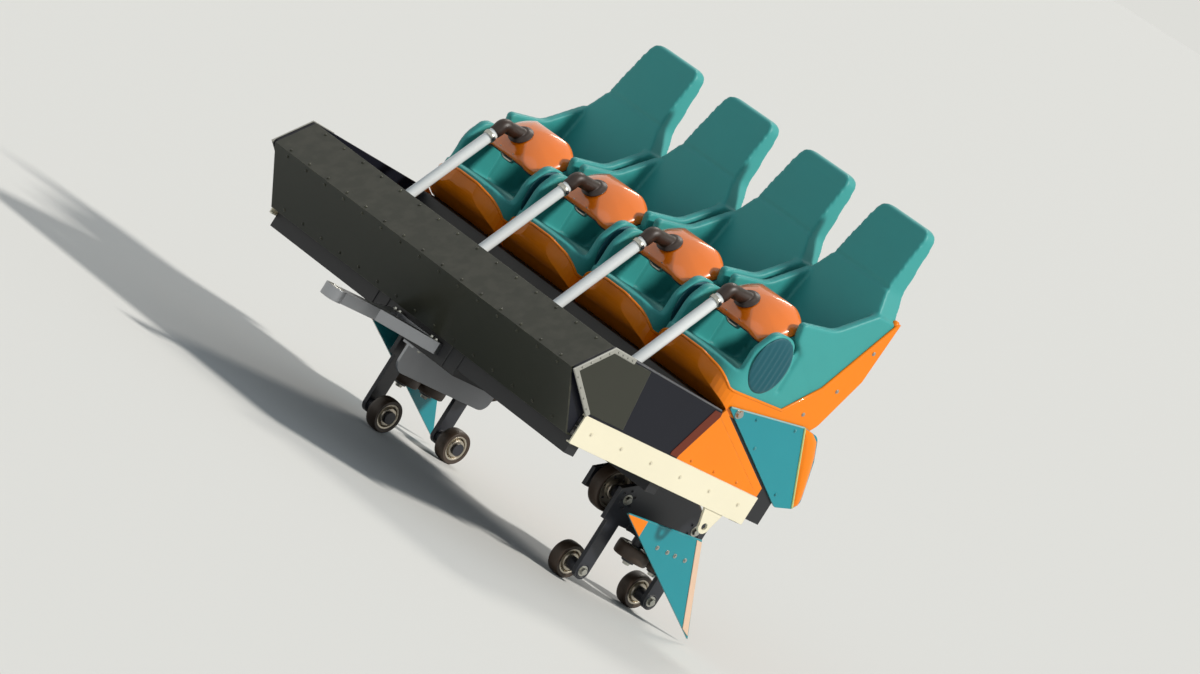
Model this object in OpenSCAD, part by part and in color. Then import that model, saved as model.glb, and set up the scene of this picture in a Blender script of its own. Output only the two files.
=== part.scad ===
// One car of a roller coaster train: a single row of four bucket seats over one pair of wheel bogies.
// X points forward, Y to the left and Z up. Lengths along the car are measured forward from the rear
// end of the sills, and the whole car is then moved so that the middle of its length is at x = 0.

/* [Row of seats] */
// Distance between the middles of two seats
seat_pitch = 600; // [590:5:680]
// Width of one seat over its shell
seat_w = 580; // [540:2:582]
// Room between the outer seats' places and the outer face of a sill
side_room = 15; // [5:1:60]
// Wall of the glossy seat shell
shell_t = 8; // [4:1:14]
// Thickness of the wings beside the hips
wing_t = 44; // [30:1:50]
// Thickness of the seat back at its top
back_t = 70; // [50:1:90]
// Lean of the seat back's front
recline = 12; // [6:0.5:14]
// Lean of the seat back's rear
rear_lean = 3.3; // [1:0.1:5]
// Height of the seat back's top over the sills
seat_h = 1490; // [1400:10:1520]
// Height of the seat cushion's rear end over the sills
cushion_h = 470; // [450:5:490]

/* [Body] */
// Length of the sills
sill_l = 1350; // [1200:10:1500]
// Height of a sill plate
sill_h = 150; // [125:5:180]
// Depth of a sill, from its outer face to the frame
sill_d = 23; // [15:1:24]
// Wall of the sill plates and of their flanges
sill_t = 8; // [5:1:12]
// Height of the sill tops over the frame
sill_rise = 120; // [90:5:140]
// Sheet of the floor and the nose
floor_t = 8; // [5:1:12]
// Sheet of the footwell's side panels
panel_t = 20; // [10:1:22]
// Height of the footwell's side panels
panel_h = 340; // [300:5:380]
// Distance from the front end of the sills to the nose
nose_l = 240; // [180:5:280]
// Distance from the nose back to the top of the front panel
dash_l = 170; // [120:5:200]
// Sheet of the bench under the seats
bench_t = 6; // [4:1:10]
// Height of the bench over the sills
bench_h = 285; // [270:5:300]
// Sheet of the fenders and the rear corner fins
skin_t = 10; // [6:1:14]

/* [Frame] */
// Height of the frame beams
beam_h = 120; // [100:5:150]
// Width of the long frame beams
beam_w = 90; // [70:5:120]
// Distance between the middles of the long beams
beam_gap = 600; // [500:10:700]
// Width of the frame's cross beams
cross_w = 70; // [50:5:100]
// Wall of the frame beams
beam_t = 10; // [6:1:14]
// Width of the axle beam
axle_beam_w = 180; // [170:5:220]
// Height of the axle beam
axle_beam_h = 110; // [90:5:140]
// Wall of the axle beam
axle_beam_t = 14; // [10:1:20]
// Distance between the couplings of neighbouring cars
car_pitch = 2000; // [1900:10:2100]
// Distance from the rear end of the sills back to the rear coupling
hitch_back = 65; // [60:1:80]
// Radius of the holes for the coupling pins
hitch_r = 25; // [18:1:28]
// Wall round the coupling pins' holes
hitch_wall = 30; // [20:1:30]
// Height of the drawbar's eye
eye_h = 60; // [40:1:64]
// Room above and below the eye in the next car's jaws
eye_gap = 4; // [2:1:6]
// Thickness of each jaw of the rear coupling
jaw_t = 18; // [12:1:20]
// Length of the brake blade
blade_l = 700; // [600:10:720]
// Depth of the brake blade
blade_h = 150; // [100:5:180]
// Thickness of the brake blade
blade_t = 14; // [8:1:20]

/* [Wheels] */
// Distance between the rails' middles
gauge = 1500; // [1450:10:1520]
// Diameter of a rail's tube
rail_d = 180; // [160:5:190]
// Distance between the wheels of a bogie
wheel_base = 540; // [500:5:560]
// Distance from the rear end of the sills back to the rear wheels
wheel_back = 140; // [60:5:150]
// Diameter of the load wheels that run on top of a rail
load_d = 240; // [220:5:250]
// Diameter of the guide wheels that run along the outside of a rail
guide_d = 180; // [160:5:184]
// Diameter of the wheels under a rail
upstop_d = 180; // [160:5:200]
// Gap between a rail and the wheels under it
upstop_gap = 10; // [5:1:15]
// Gap between a rail and the wheels outside it
guide_gap = 2; // [1:1:5]
// Width of the wheels
wheel_w = 70; // [60:1:80]
// Radius of the wheels' axles
axle_r = 25; // [20:1:28]
// Radial clearance of a part that turns on a shaft
turn_gap = 0.05; // [0.03:0.01:0.1]
// Gap between a turning part and what stands beside it
side_gap = 5; // [5:0.5:7]
// Sheet of the bogies' side plates
plate_t = 25; // [20:1:30]
// Radius of the pins on which the bogies turn
king_r = 30; // [24:1:36]
// Sheet of the fairings outside the bogies
fairing_t = 10; // [6:1:14]

/* [Restraints] */
// Distance of the restraints' hinges from the rear end of the sills
foot_x = 1120; // [1100:5:1150]
// Lean of a restraint's arm while closed
arm_lean = 31; // [30:0.5:32]
// Length of the arm from its hinge to its bend
arm_l = 990; // [980:5:1020]
// Radius of the arm's tube
arm_r = 28; // [22:1:30]
// Radius of the boss at the arm's foot
boss_r = 32; // [30:1:40]
// Radius of the hinge pin
foot_pin_r = 15; // [10:1:18]
// Width of the lap pad
pad_w = 460; // [400:5:460]
// Length of the lap pad
pad_l = 290; // [250:5:300]
// Thickness of the lap pad
pad_t = 46; // [30:1:60]
// Radius of the lap pad's dome
pad_r = 320; // [310:5:360]
// Tilt of the lap pad's face from level
pad_tilt = 50; // [46:1:54]

/* [Hidden] */
SIDES = ["left", "right"];
ENDS = ["front", "rear"];
SEATS = [1, 2, 3, 4];
$fn = 64;
eps = 1;

// Heights over the floor, from the wheels under the rails upwards
rail_z = upstop_d + upstop_gap + rail_d / 2;
rail_top = rail_z + rail_d / 2;
load_z = rail_top + load_d / 2;
upstop_z = upstop_d / 2;
crown_z = load_z + load_d / 2 + 15;
crown_t = 30;
king_h = 45;
thrust_r = king_r + 25;
frame_z = crown_z + crown_t + king_h;
sill_z = frame_z + sill_rise;

// Places along the car
bogie_x = wheel_base / 2 - wheel_back;
nose_x = sill_l + nose_l;
dash_x = nose_x - dash_l;
frame_front = sill_l - 30;
bench_x = 650;
bench_front = 540;
bench_rear = -130;
eye_x = car_pitch - hitch_back;
eye_r = hitch_r + hitch_wall;
fairing_tip_x = -310;
car_mid = (eye_x + eye_r + fairing_tip_x) / 2;

// Widths and heights that several pieces share
car_w = len(SEATS) * seat_pitch + 2 * side_room;
body_w = car_w - 2 * sill_d;
hitch_z = frame_z - beam_h / 2;
seat_in = seat_w - 2 * shell_t;
axle_beam_end = gauge / 2 + king_r + 50;

// Unit vector along v
function unit(v) = v / norm(v);

// The arc that rounds corner b between the points a and c
function corner(a, b, c, r, n = 7) =
  let (u = unit(a - b), v = unit(c - b), half = acos(u * v) / 2)
  let (mid = b + unit(u + v) * r / sin(half), from = b + u * r / tan(half), to = b + v * r / tan(half))
  let (start = atan2(from.y - mid.y, from.x - mid.x), end = atan2(to.y - mid.y, to.x - mid.x))
  let (sweep = (end - start + 540) % 360 - 180)
  [for (i = [0:n]) mid + r * [cos(start + sweep * i / n), sin(start + sweep * i / n)]];

// An outline of [x, z, corner radius] with its corners rounded
function rounded(p) =
  let (n = len(p), at = [for (q = p) [q.x, q.y]])
  [for (i = [0:n - 1]) each p[i].z > 0
    ? corner(at[(i + n - 1) % n], at[i], at[(i + 1) % n], p[i].z)
    : [at[i]]];

// An outline that runs anticlockwise, moved inwards by t
function inset(p, t) =
  let (n = len(p), side = [for (i = [0:n - 1]) unit(p[(i + 1) % n] - p[i])])
  let (inward = [for (s = side) [-s.y, s.x]])
  [for (i = [0:n - 1]) let (a = inward[(i + n - 1) % n], b = inward[i]) p[i] + t * (a + b) / (1 + a * b)];

// The outline of a sheet, t thick, on the left of a bent line
function sheet(p, t) =
  let (n = len(p), run = [for (i = [0:n - 2]) unit(p[i + 1] - p[i])])
  let (left = [for (r = run) [-r.y, r.x]])
  concat(p, [for (i = [n - 1:-1:0]) let (a = left[max(i - 1, 0)], b = left[min(i, n - 2)])
    p[i] + t * (a + b) / (1 + a * b)]);

// Extrudes an outline of lengths and heights across the car, w wide
module across(w) rotate([90, 0, 0]) linear_extrude(w, center = true) children();

// Extrudes an outline of widths and heights along the car, from x on
module along(x, l) translate([x, 0, 0]) rotate([90, 0, 90]) linear_extrude(l) children();

// A cylinder across the car from y0 to y1
module rod(x, z, y0, y1, r) translate([x, y0, z]) rotate([-90, 0, 0]) cylinder(r = r, h = y1 - y0);

// A box between two corners
module block(a, b) translate(a) cube(b - a);

// A closed hollow beam between two corners
module beam(a, b, t) difference() {
  block(a, b);
  block(a + [t, t, t], b - [t, t, t]);
}

// What is drawn for the left side, there or mirrored to the right
module on_side(s) mirror([0, s == "left" ? 0 : 1, 0]) children();

function seat_y(i) = seat_pitch * ((len(SEATS) + 1) / 2 - i);
function wheel_x(e) = bogie_x + (e == "front" ? wheel_base / 2 : -wheel_base / 2);

// Frame under the floor: two long beams, three cross beams and the jaws of the rear coupling
module chassis_frame() color("#1d2026") {
  cross_x = [0, (frame_front - cross_w) / 2, frame_front - cross_w];
  inner = beam_gap / 2 - beam_w / 2;
  outer = beam_gap / 2 + beam_w / 2;
  rear_wing_h = king_h - 2 * side_gap;
  rear_wing_w = bogie_x - thrust_r - side_gap;
  for (s = [-1, 1]) beam([0, s * beam_gap / 2 - beam_w / 2, frame_z - beam_h],
                         [frame_front, s * beam_gap / 2 + beam_w / 2, frame_z], beam_t);
  for (x = cross_x) {
    wing_h = x == 0 ? rear_wing_h : beam_h * 0.7;
    wing_w = x == 0 ? rear_wing_w : cross_w;
    beam([x, -inner, frame_z - beam_h], [x + cross_w, inner, frame_z], beam_t);
    beam([x, outer, frame_z - wing_h], [x + wing_w, body_w / 2, frame_z], beam_t);
    beam([x, -body_w / 2, frame_z - wing_h], [x + wing_w, -outer, frame_z], beam_t);
  }
  jaw_z = eye_h / 2 + eye_gap;
  difference() {
    for (z = [hitch_z + jaw_z, hitch_z - jaw_z - jaw_t]) {
      block([-hitch_back, -eye_r, z], [0, eye_r, z + jaw_t]);
      translate([-hitch_back, 0, z]) cylinder(r = eye_r, h = jaw_t);
    }
    translate([-hitch_back, 0, 0]) cylinder(r = hitch_r, h = sill_z);
  }
}

// Cross beam that carries the body on the two bogies, with an upright pin for each
module axle_beam() color("#2b2e35") {
  nut_h = 30;
  beam([bogie_x - axle_beam_w / 2, -axle_beam_end, frame_z],
       [bogie_x + axle_beam_w / 2, axle_beam_end, frame_z + axle_beam_h], axle_beam_t);
  for (s = [-1, 1]) translate([bogie_x, s * gauge / 2, 0]) {
    translate([0, 0, crown_z + crown_t + 0.3]) cylinder(r = thrust_r, h = king_h - 0.3);
    translate([0, 0, crown_z - nut_h]) cylinder(r = king_r, h = nut_h + crown_t + king_h);
    translate([0, 0, crown_z - nut_h]) cylinder(r = king_r + 15, h = nut_h - 0.3);
  }
}

// Bar to the car in front, with an upright hole in its eye
module drawbar() color("#3a3d44") {
  bar_w = 70;
  root_w = 380;
  root_l = 320;
  translate([0, 0, hitch_z - eye_h / 2]) difference() {
    union() {
      linear_extrude(eye_h) polygon([
        [frame_front, -root_w / 2], [frame_front + 20, -root_w / 2], [frame_front + root_l, -bar_w / 2],
        [eye_x, -bar_w / 2], [eye_x, bar_w / 2], [frame_front + root_l, bar_w / 2],
        [frame_front + 20, root_w / 2], [frame_front, root_w / 2]]);
      translate([eye_x, 0, 0]) cylinder(r = eye_r, h = eye_h);
    }
    translate([eye_x, 0, -eps]) cylinder(r = hitch_r, h = eye_h + 2 * eps);
    translate([0, 0, -eps]) linear_extrude(eye_h + 2 * eps) polygon([
      [frame_front + 30, -root_w / 2 + 60], [frame_front + root_l - 90, 0], [frame_front + 30, root_w / 2 - 60]]);
  }
}

// Upright blade that the track's brakes grip, on a flange under the frame
module brake_blade() color("#8d8f92") {
  flange_w = 80;
  flange_t = 12;
  top = frame_z - beam_h;
  rear = frame_front - blade_l;
  across(blade_t) polygon(rounded([[rear, top - blade_h, 60], [frame_front, top - blade_h, 60],
                                   [frame_front, top - flange_t, 0], [rear, top - flange_t, 0]]));
  block([rear, -flange_w / 2, top - flange_t], [frame_front, flange_w / 2, top]);
}

// Floor of the footwell, from the bench to the nose
module floor_pan() color("#23262d")
  block([bench_x, -body_w / 2, frame_z], [sill_l, body_w / 2, frame_z + floor_t]);

// Bent nose sheet in front of the feet, with a lip along its top
module toe_board() color("#4b4d33") {
  lip = 60;
  across(body_w) polygon(sheet([
    [sill_l, frame_z], [sill_l + lip / 2, frame_z], [nose_x, sill_z + panel_h / 2],
    [dash_x, sill_z + panel_h], [dash_x - lip, sill_z + panel_h - lip / 8]], floor_t));
}

// Sheet bench that carries the seats, open below
module seat_bench() color("#23262d") {
  profile = [[bench_x, frame_z], [bench_x, sill_z + 20], [bench_front, sill_z + bench_h],
             [0, sill_z + bench_h], [bench_rear, sill_z + 10], [bench_rear, frame_z]];
  difference() {
    across(body_w) polygon(profile);
    across(body_w - 2 * bench_t) polygon(inset(profile, bench_t));
    block([bench_rear + bench_t, -body_w / 2 + bench_t, frame_z - eps],
          [bench_x - bench_t, body_w / 2 - bench_t, frame_z + 2 * bench_t]);
  }
}

// Front and rear of the seat backs at height h over the sills
function back_x(h) = 131 - h * tan(recline);
function rear_x(h) = back_x(seat_h) - back_t + (seat_h - h) * tan(rear_lean);

// Outline of the shell round one seat, as if it went up to the top of the seat back
tub_top = seat_h + 100;
tub = rounded([
  [5, bench_h, 110], [470, bench_h, 90], [636, bench_h + 90, 90], [668, tub_top, 0],
  [rear_x(tub_top) - shell_t, tub_top, 0], [rear_x(715) - shell_t, 715, 0], [-115, 430, 90]]);

// Start and length of a cutting prism that reaches past a seat's rear and front
cut_x = -500;
cut_l = 1300;

// What lies above the rim of a shell
rim_rear = [rear_x(980) + 30, 980];
above_rim = [[700, 525], [668, 512], [550, 400], [170, 420], [0, 600], rim_rear, rim_rear + [-30, 60],
             rim_rear + [-300, 70], [-500, tub_top + 50], [700, tub_top + 50]];

// Upright prism of one place as seen from above, w wide, with a bowed front set back by b
module place(w, b) linear_extrude(tub_top) polygon(rounded([
  [-700, -w / 2, 0], [600 - b, -w / 2, 130], [655 - b, 0, 600], [600 - b, w / 2, 130], [-700, w / 2, 0]]));

// Glossy tub under one seat
module seat_shell(i) color("#f28a1e") translate([0, seat_y(i), sill_z]) difference() {
  intersection() {
    across(seat_w) difference() {
      polygon(tub);
      polygon(above_rim);
    }
    place(seat_w, 0);
  }
  intersection() {
    across(seat_in) polygon(inset(tub, shell_t));
    place(seat_in, shell_t);
  }
}

// One bucket seat: cushion, back, wings beside the hips and ribbed lobes beside the thighs
module seat(i) color("#3f9c9b") translate([0, seat_y(i), sill_z]) {
  head_w = 365;
  shoulder_w = 410;
  shoulder_h = seat_h - 330;
  wide_h = seat_h - 500;
  lobe_h = cushion_h + 272;
  wing_low = cushion_h + 90;
  wing_h = cushion_h + 402;
  wing_top = wing_h + 160;
  form = rounded([
    [-400, 200, 0], [700, 200, 0], [700, 400, 0], [612, cushion_h + 28, 50],
    [back_x(cushion_h), cushion_h, 60], [back_x(seat_h), seat_h, 22], [rear_x(seat_h), seat_h, 22],
    [rear_x(600), 600, 0]]);
  front = rounded([
    [-seat_in / 2, 200, 0], [seat_in / 2, 200, 0], [seat_in / 2, wide_h, 60],
    [shoulder_w / 2, shoulder_h, 120], [head_w / 2, seat_h, 60], [-head_w / 2, seat_h, 60],
    [-shoulder_w / 2, shoulder_h, 120], [-seat_in / 2, wide_h, 60]]);
  wing = rounded([
    [-120, wing_low, 0], [40, wing_low, 40], [322, lobe_h, 30], [352, wing_h - 40, 22], [120, wing_h, 150],
    [back_x(wing_top), wing_top, 20], [rear_x(wing_top) + 10, wing_top, 0]]);
  lobe = rounded([
    [264, cushion_h - 90, 0], [540, cushion_h - 90, 0], [536, lobe_h - 122, 60], [468, lobe_h, 70],
    [330, lobe_h, 70], [264, lobe_h - 122, 50]]);
  rib_w = 90;
  wall = 40;
  pocket_w = (seat_in - rib_w) / 2 - wall;
  difference() {
    intersection() {
      across(seat_in) intersection() {
        polygon(form);
        polygon(inset(tub, shell_t));
      }
      along(cut_x, cut_l) polygon(front);
      place(seat_in, shell_t);
    }
    for (s = [-1, 1]) translate([0, s * (rib_w + pocket_w) / 2, 0]) {
      intersection() {
        across(pocket_w) polygon([
          [back_x(wing_low) - wall, wing_low], [back_x(seat_h - 60) - wall, seat_h - 60],
          [rear_x(seat_h - 60) - wall, seat_h - 60], [rear_x(wing_low) - wall, wing_low]]);
        translate([0, -s * (rib_w + pocket_w) / 2, 0]) along(cut_x, cut_l) polygon(inset(front, wall));
      }
      across(pocket_w) polygon([[60, 200], [560, 200], [560, cushion_h - wall], [60, cushion_h - wall - 20]]);
    }
  }
  intersection() {
    for (s = [-1, 1]) translate([0, s * (seat_in - wing_t) / 2, 0]) {
      across(wing_t) polygon(wing);
      difference() {
        across(wing_t) polygon(lobe);
        for (x = [310:40:490])
          block([x, s * wing_t / 2 - 4, cushion_h + 50], [x + 12, s * wing_t / 2 + 4, lobe_h - 42]);
      }
    }
    place(seat_in, shell_t);
  }
}

// Posts and a cross tube behind the seat backs
module back_frame() color("#3a3d44") translate([0, 0, sill_z]) {
  post_w = 60;
  post_d = 40;
  tube_h = seat_h - 540;
  gap = shell_t + 12;
  for (i = SEATS) translate([0, seat_y(i), 0]) {
    across(post_w) polygon([
      [bench_rear, 10 - sill_rise], [bench_rear, 10], [rear_x(260) - gap, 260],
      [rear_x(tube_h - 40) - gap, tube_h - 40], [rear_x(tube_h - 40) - shell_t, tube_h - 40],
      [rear_x(tube_h + 40) - shell_t, tube_h + 40], [rear_x(tube_h + 40) - gap - post_d, tube_h + 40],
      [rear_x(260) - gap - post_d, 260], [bench_rear - post_d, 10 - sill_rise]]);
  }
  rod(rear_x(tube_h) - gap - post_d / 2, tube_h, -body_w / 2 + 60, body_w / 2 - 60, 25);
}

// Sill: a side plate with a flange at its top and its bottom, and a lifting lug under its rear
lug_x = 215;
lug_h = 85;
lug_r = 38;
lug_t = 12;
lug_hole_r = 18;
module sill(s) color("#f4efdf") on_side(s) {
  low = sill_z - sill_h;
  difference() {
    block([0, body_w / 2, low], [sill_l, car_w / 2, sill_z]);
    block([-eps, body_w / 2 - eps, low + sill_t], [sill_l + eps, car_w / 2 - sill_t, sill_z - sill_t]);
  }
  translate([lug_x, body_w / 2 + lug_t, low]) across(lug_t) difference() {
    union() {
      translate([0, -lug_h]) circle(r = lug_r);
      polygon([[-lug_r - 35, sill_t], [lug_r + 35, sill_t], [lug_r, -lug_h], [-lug_r, -lug_h]]);
    }
    translate([0, -lug_h]) circle(r = lug_hole_r);
  }
}

// A plate on the outer face of the body, t thick
module skin(t) translate([0, (body_w + t) / 2, sill_z]) across(t) children();

// Dark side of the footwell, up to the nose
module side_panel(s) color("#15171c") on_side(s) skin(panel_t)
  polygon(rounded([[bench_x, 0, 0], [sill_l, 0, 0], [nose_x, panel_h / 2, 20], [dash_x, panel_h, 20],
                   [bench_front, panel_h - 40, 20], [bench_x, 20, 0]]));

// Three-cornered fender on the sill
module fender(s) color("#f28a1e") on_side(s) skin(skin_t)
  polygon([[0, 0], [bench_x, 0], [bench_x, 20], [bench_front, bench_h - 15]]);

// Shield at the rear corner with a bulging rear edge, stiffened by a rib behind it
module fin(s) color("#1f8f98") on_side(s) {
  rib_w = 90;
  rib_top = [-110, bench_h];
  rib_low = [-235, 40];
  skin(skin_t) polygon(rounded([[-152, -8, 25], [520, 330, 8], [-30, 400, 15], [-150, 385, 60],
                                [-222, 270, 90], [-300, 60, 40], [-265, 20, 30]]));
  translate([0, body_w / 2 + skin_t - rib_w / 2, sill_z]) across(rib_w)
    polygon(sheet([rib_top, rib_low], skin_t));
}

// One bogie: side plates, crown, arms down past the rail, axles and a shelf for the guide wheels
plate_y = gauge / 2 + rail_d / 2 + 12;
inner_y = gauge / 2 - wheel_w / 2 - 50;
shelf_z = rail_z + wheel_w / 2 + 45;
guide_y = gauge / 2 + rail_d / 2 + guide_gap + guide_d / 2;
fairing_y = guide_y + guide_d / 2 + 23;
guide_step = guide_d / 2 + 2 * side_gap;
function guide_x(e) = bogie_x + (e == "front" ? guide_step : -guide_step);
module bogie(s) color("#24272e") on_side(s) {
  arm_w = 90;
  lap = 75;
  crown_w = 210;
  cap_r = axle_r + 8;
  cap_t = 10;
  shelf_t = 25;
  top = crown_z + crown_t;
  ends = [bogie_x - wheel_base / 2 - lap, bogie_x + wheel_base / 2 + lap];
  crown = [[ends[1], load_z + 40], [bogie_x + crown_w / 2, top], [bogie_x - crown_w / 2, top],
           [ends[0], load_z + 40]];
  band = concat([[ends[0], shelf_z], [ends[1], shelf_z]], crown);
  inner_band = concat([[ends[0], load_z - 60], [ends[1], load_z - 60]], crown);
  translate([0, plate_y + plate_t / 2, 0]) across(plate_t) {
    polygon(band);
    for (e = ENDS) translate([wheel_x(e), upstop_z]) {
      circle(r = arm_w / 2);
      translate([-arm_w / 2, 0]) square([arm_w, shelf_z]);
    }
  }
  translate([0, inner_y - plate_t / 2, 0]) across(plate_t) polygon(inner_band);
  difference() {
    block([bogie_x - crown_w / 2, inner_y, crown_z], [bogie_x + crown_w / 2, plate_y, top]);
    translate([bogie_x, gauge / 2, 0]) cylinder(r = king_r + turn_gap, h = sill_z);
  }
  block([bogie_x - 165, plate_y + plate_t, shelf_z], [bogie_x + 165, fairing_y, shelf_z + shelf_t]);
  near = gauge / 2 - wheel_w / 2 - side_gap;
  far = gauge / 2 + wheel_w / 2 + side_gap;
  for (e = ENDS) {
    rod(wheel_x(e), load_z, inner_y, plate_y, axle_r);
    rod(wheel_x(e), load_z, inner_y, near, cap_r);
    rod(wheel_x(e), load_z, far, plate_y, cap_r);
    rod(wheel_x(e), upstop_z, near - cap_t, plate_y, axle_r);
    rod(wheel_x(e), upstop_z, near - cap_t, near, cap_r);
    rod(wheel_x(e), upstop_z, far, plate_y, cap_r);
    translate([guide_x(e), guide_y, 0]) {
      under = rail_z - wheel_w / 2 - side_gap;
      over = rail_z + wheel_w / 2 + side_gap;
      translate([0, 0, under - cap_t]) cylinder(r = axle_r, h = shelf_z - under + cap_t);
      translate([0, 0, under - cap_t]) cylinder(r = cap_r, h = cap_t);
      translate([0, 0, over]) cylinder(r = cap_r, h = shelf_z - over);
    }
  }
}

// Swept fairing outside a bogie
module bogie_fairing(s) color("#1f8f98") on_side(s)
  translate([0, fairing_y + fairing_t / 2, rail_top]) across(fairing_t)
    polygon([[fairing_tip_x + 860, 90], [fairing_tip_x + 300, 120], [fairing_tip_x, 30 - rail_top]]);

// A wheel about the Z axis: tyre, rim, web and hub
module wheel(d) {
  r = d / 2;
  hub_r = axle_r + 22;
  rim_r = r - 28;
  web = 22;
  edge = 6;
  half = [[axle_r + turn_gap, wheel_w / 2], [hub_r, wheel_w / 2], [hub_r, web / 2], [rim_r, web / 2],
          [rim_r, wheel_w / 2], [r - edge, wheel_w / 2], [r, wheel_w / 2 - edge]];
  rotate_extrude($fn = 96) polygon(concat(half, [for (i = [len(half) - 1:-1:0]) [half[i].x, -half[i].y]]));
}
module load_wheel(s, e) color("#c9a24a") on_side(s)
  translate([wheel_x(e), gauge / 2, load_z]) rotate([90, 0, 0]) wheel(load_d);
module guide_wheel(s, e) color("#c9a24a") on_side(s)
  translate([guide_x(e), guide_y, rail_z]) wheel(guide_d);
module upstop_wheel(s, e) color("#c9a24a") on_side(s)
  translate([wheel_x(e), gauge / 2, upstop_z]) rotate([90, 0, 0]) wheel(upstop_d);

// Restraint hinges on the floor: a base plate, two ears and a pin for each seat
base_t = 10;
boss_w = 60;
foot_z = frame_z + floor_t + base_t + boss_r + side_gap;
module restraint_brackets() color("#9aa0a6") for (i = SEATS) translate([foot_x, seat_y(i), 0]) {
  ear_t = 14;
  ear_r = 30;
  ear_y = boss_w / 2 + side_gap;
  base = frame_z + floor_t;
  block([-70, -70, base], [70, 70, base + base_t]);
  for (s = [-1, 1]) translate([0, s * (ear_y + ear_t / 2), 0]) across(ear_t) {
    translate([0, foot_z]) circle(r = ear_r);
    polygon([[-60, base + base_t], [60, base + base_t], [ear_r, foot_z], [-ear_r, foot_z]]);
  }
  rod(0, foot_z, -ear_y - ear_t, ear_y + ear_t, foot_pin_r);
}

// Where the arm bends back to the pad, and the middle of the pad's dome
bend = [foot_x - arm_l * sin(arm_lean), foot_z + arm_l * cos(arm_lean)];
pad_mid = bend + [-175, 40];
dome_mid = pad_mid - pad_r * [cos(pad_tilt), sin(pad_tilt)];

// Straight restraint arm with its boss and its bent neck
module restraint_arm(i) color("#e9ecec") translate([0, seat_y(i), 0]) difference() {
  union() {
    rod(foot_x, foot_z, -boss_w / 2, boss_w / 2, boss_r);
    translate([foot_x, 0, foot_z]) rotate([0, -arm_lean, 0]) cylinder(r = arm_r, h = arm_l);
    translate([bend.x, 0, bend.y]) {
      sphere(r = arm_r + 2);
      rotate([0, -90, 0]) cylinder(r = arm_r, h = 175);
    }
  }
  rod(foot_x, foot_z, -boss_w, boss_w, foot_pin_r + turn_gap);
  translate([dome_mid.x, 0, dome_mid.y]) rotate([0, 0, 90]) sphere(r = pad_r, $fn = 96);
}

// Domed lap pad
module restraint_pad(i) color("#f28a1e")
  translate([dome_mid.x, seat_y(i), dome_mid.y]) rotate([0, 90 - pad_tilt, 0]) intersection() {
    difference() {
      sphere(r = pad_r, $fn = 96);
      sphere(r = pad_r - pad_t, $fn = 96);
    }
    linear_extrude(pad_r * 2) {
      fillet = 100;
      square([pad_l, pad_w - 2 * fillet], center = true);
      square([pad_l - 2 * fillet, pad_w], center = true);
      for (a = [-1, 1], b = [-1, 1])
        translate([a * (pad_l / 2 - fillet), b * (pad_w / 2 - fillet)]) circle(r = fillet);
    }
  }

translate([-car_mid, 0, 0]) {
  chassis_frame();
  axle_beam();
  drawbar();
  brake_blade();
  floor_pan();
  toe_board();
  seat_bench();
  back_frame();
  restraint_brackets();
  for (s = SIDES) {
    sill(s);
    side_panel(s);
    fender(s);
    fin(s);
    bogie(s);
    bogie_fairing(s);
  }
  for (i = SEATS) {
    seat(i);
    seat_shell(i);
    restraint_arm(i);
    restraint_pad(i);
  }
  for (s = SIDES, e = ENDS) {
    load_wheel(s, e);
    guide_wheel(s, e);
    upstop_wheel(s, e);
  }
}
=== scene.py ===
from math import cos, exp, pi, radians, sin, sqrt

import bmesh
import bpy
from mathutils import Matrix, Vector


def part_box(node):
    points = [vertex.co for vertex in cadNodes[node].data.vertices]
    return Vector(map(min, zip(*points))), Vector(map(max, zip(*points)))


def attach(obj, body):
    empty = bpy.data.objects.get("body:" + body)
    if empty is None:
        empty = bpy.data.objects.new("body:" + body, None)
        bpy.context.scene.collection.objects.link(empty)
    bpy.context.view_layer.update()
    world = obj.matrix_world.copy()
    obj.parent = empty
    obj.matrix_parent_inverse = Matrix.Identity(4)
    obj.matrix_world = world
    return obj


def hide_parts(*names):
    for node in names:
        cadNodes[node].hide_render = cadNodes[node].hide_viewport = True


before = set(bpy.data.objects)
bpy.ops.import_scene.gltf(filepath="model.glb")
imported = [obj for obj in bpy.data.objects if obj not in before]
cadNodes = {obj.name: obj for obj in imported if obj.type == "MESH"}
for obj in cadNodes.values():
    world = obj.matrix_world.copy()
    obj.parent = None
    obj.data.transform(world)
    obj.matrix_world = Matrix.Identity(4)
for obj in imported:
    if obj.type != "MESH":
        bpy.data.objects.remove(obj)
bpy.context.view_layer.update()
print("frame loaded:", len(cadNodes), "nodes")

# The car's own measures, in metres, as the part's source has them
car = {
    "mid": 0.84,  # from the rear end of the sills to the frame's origin
    "sillTop": 0.82,
    "frameTop": 0.7,
    "bodyHalf": 1.192,
    "seatPitch": 0.6,
    "seatWidth": 0.58,
    "bogieX": 0.13,
    "wheelBase": 0.54,
    "railLine": 0.75,
}
sides = {"left": 1, "right": -1}
seats = (1, 2, 3, 4)


def place(x, y, z):
    # x is counted from the rear end of the sills
    return Vector((x - car["mid"], y, z))


def seatY(i):
    return car["seatPitch"] * (2.5 - i)


def atSeat(i, x, y, h):
    # y from the seat's middle, h over the sills
    return place(x, seatY(i) + y, car["sillTop"] + h)


def onSide(sign, points, y, base=car["sillTop"]):
    return [place(x, sign * y, base + h) for x, h in points]


# Materials
def paint(code):
    values = [int(code[k:k + 2], 16) / 255 for k in (1, 3, 5)]
    linear = [v / 12.92 if v <= 0.04045 else ((v + 0.055) / 1.055) ** 2.4 for v in values]
    return (*linear, 1.0)


def feed(tree, node, feeds):
    # an input, by its name or number, gets a value or another node's output
    for key, value in feeds.items():
        if isinstance(value, bpy.types.NodeSocket):
            tree.links.new(value, node.inputs[key])
        else:
            node.inputs[key].default_value = value


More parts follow.
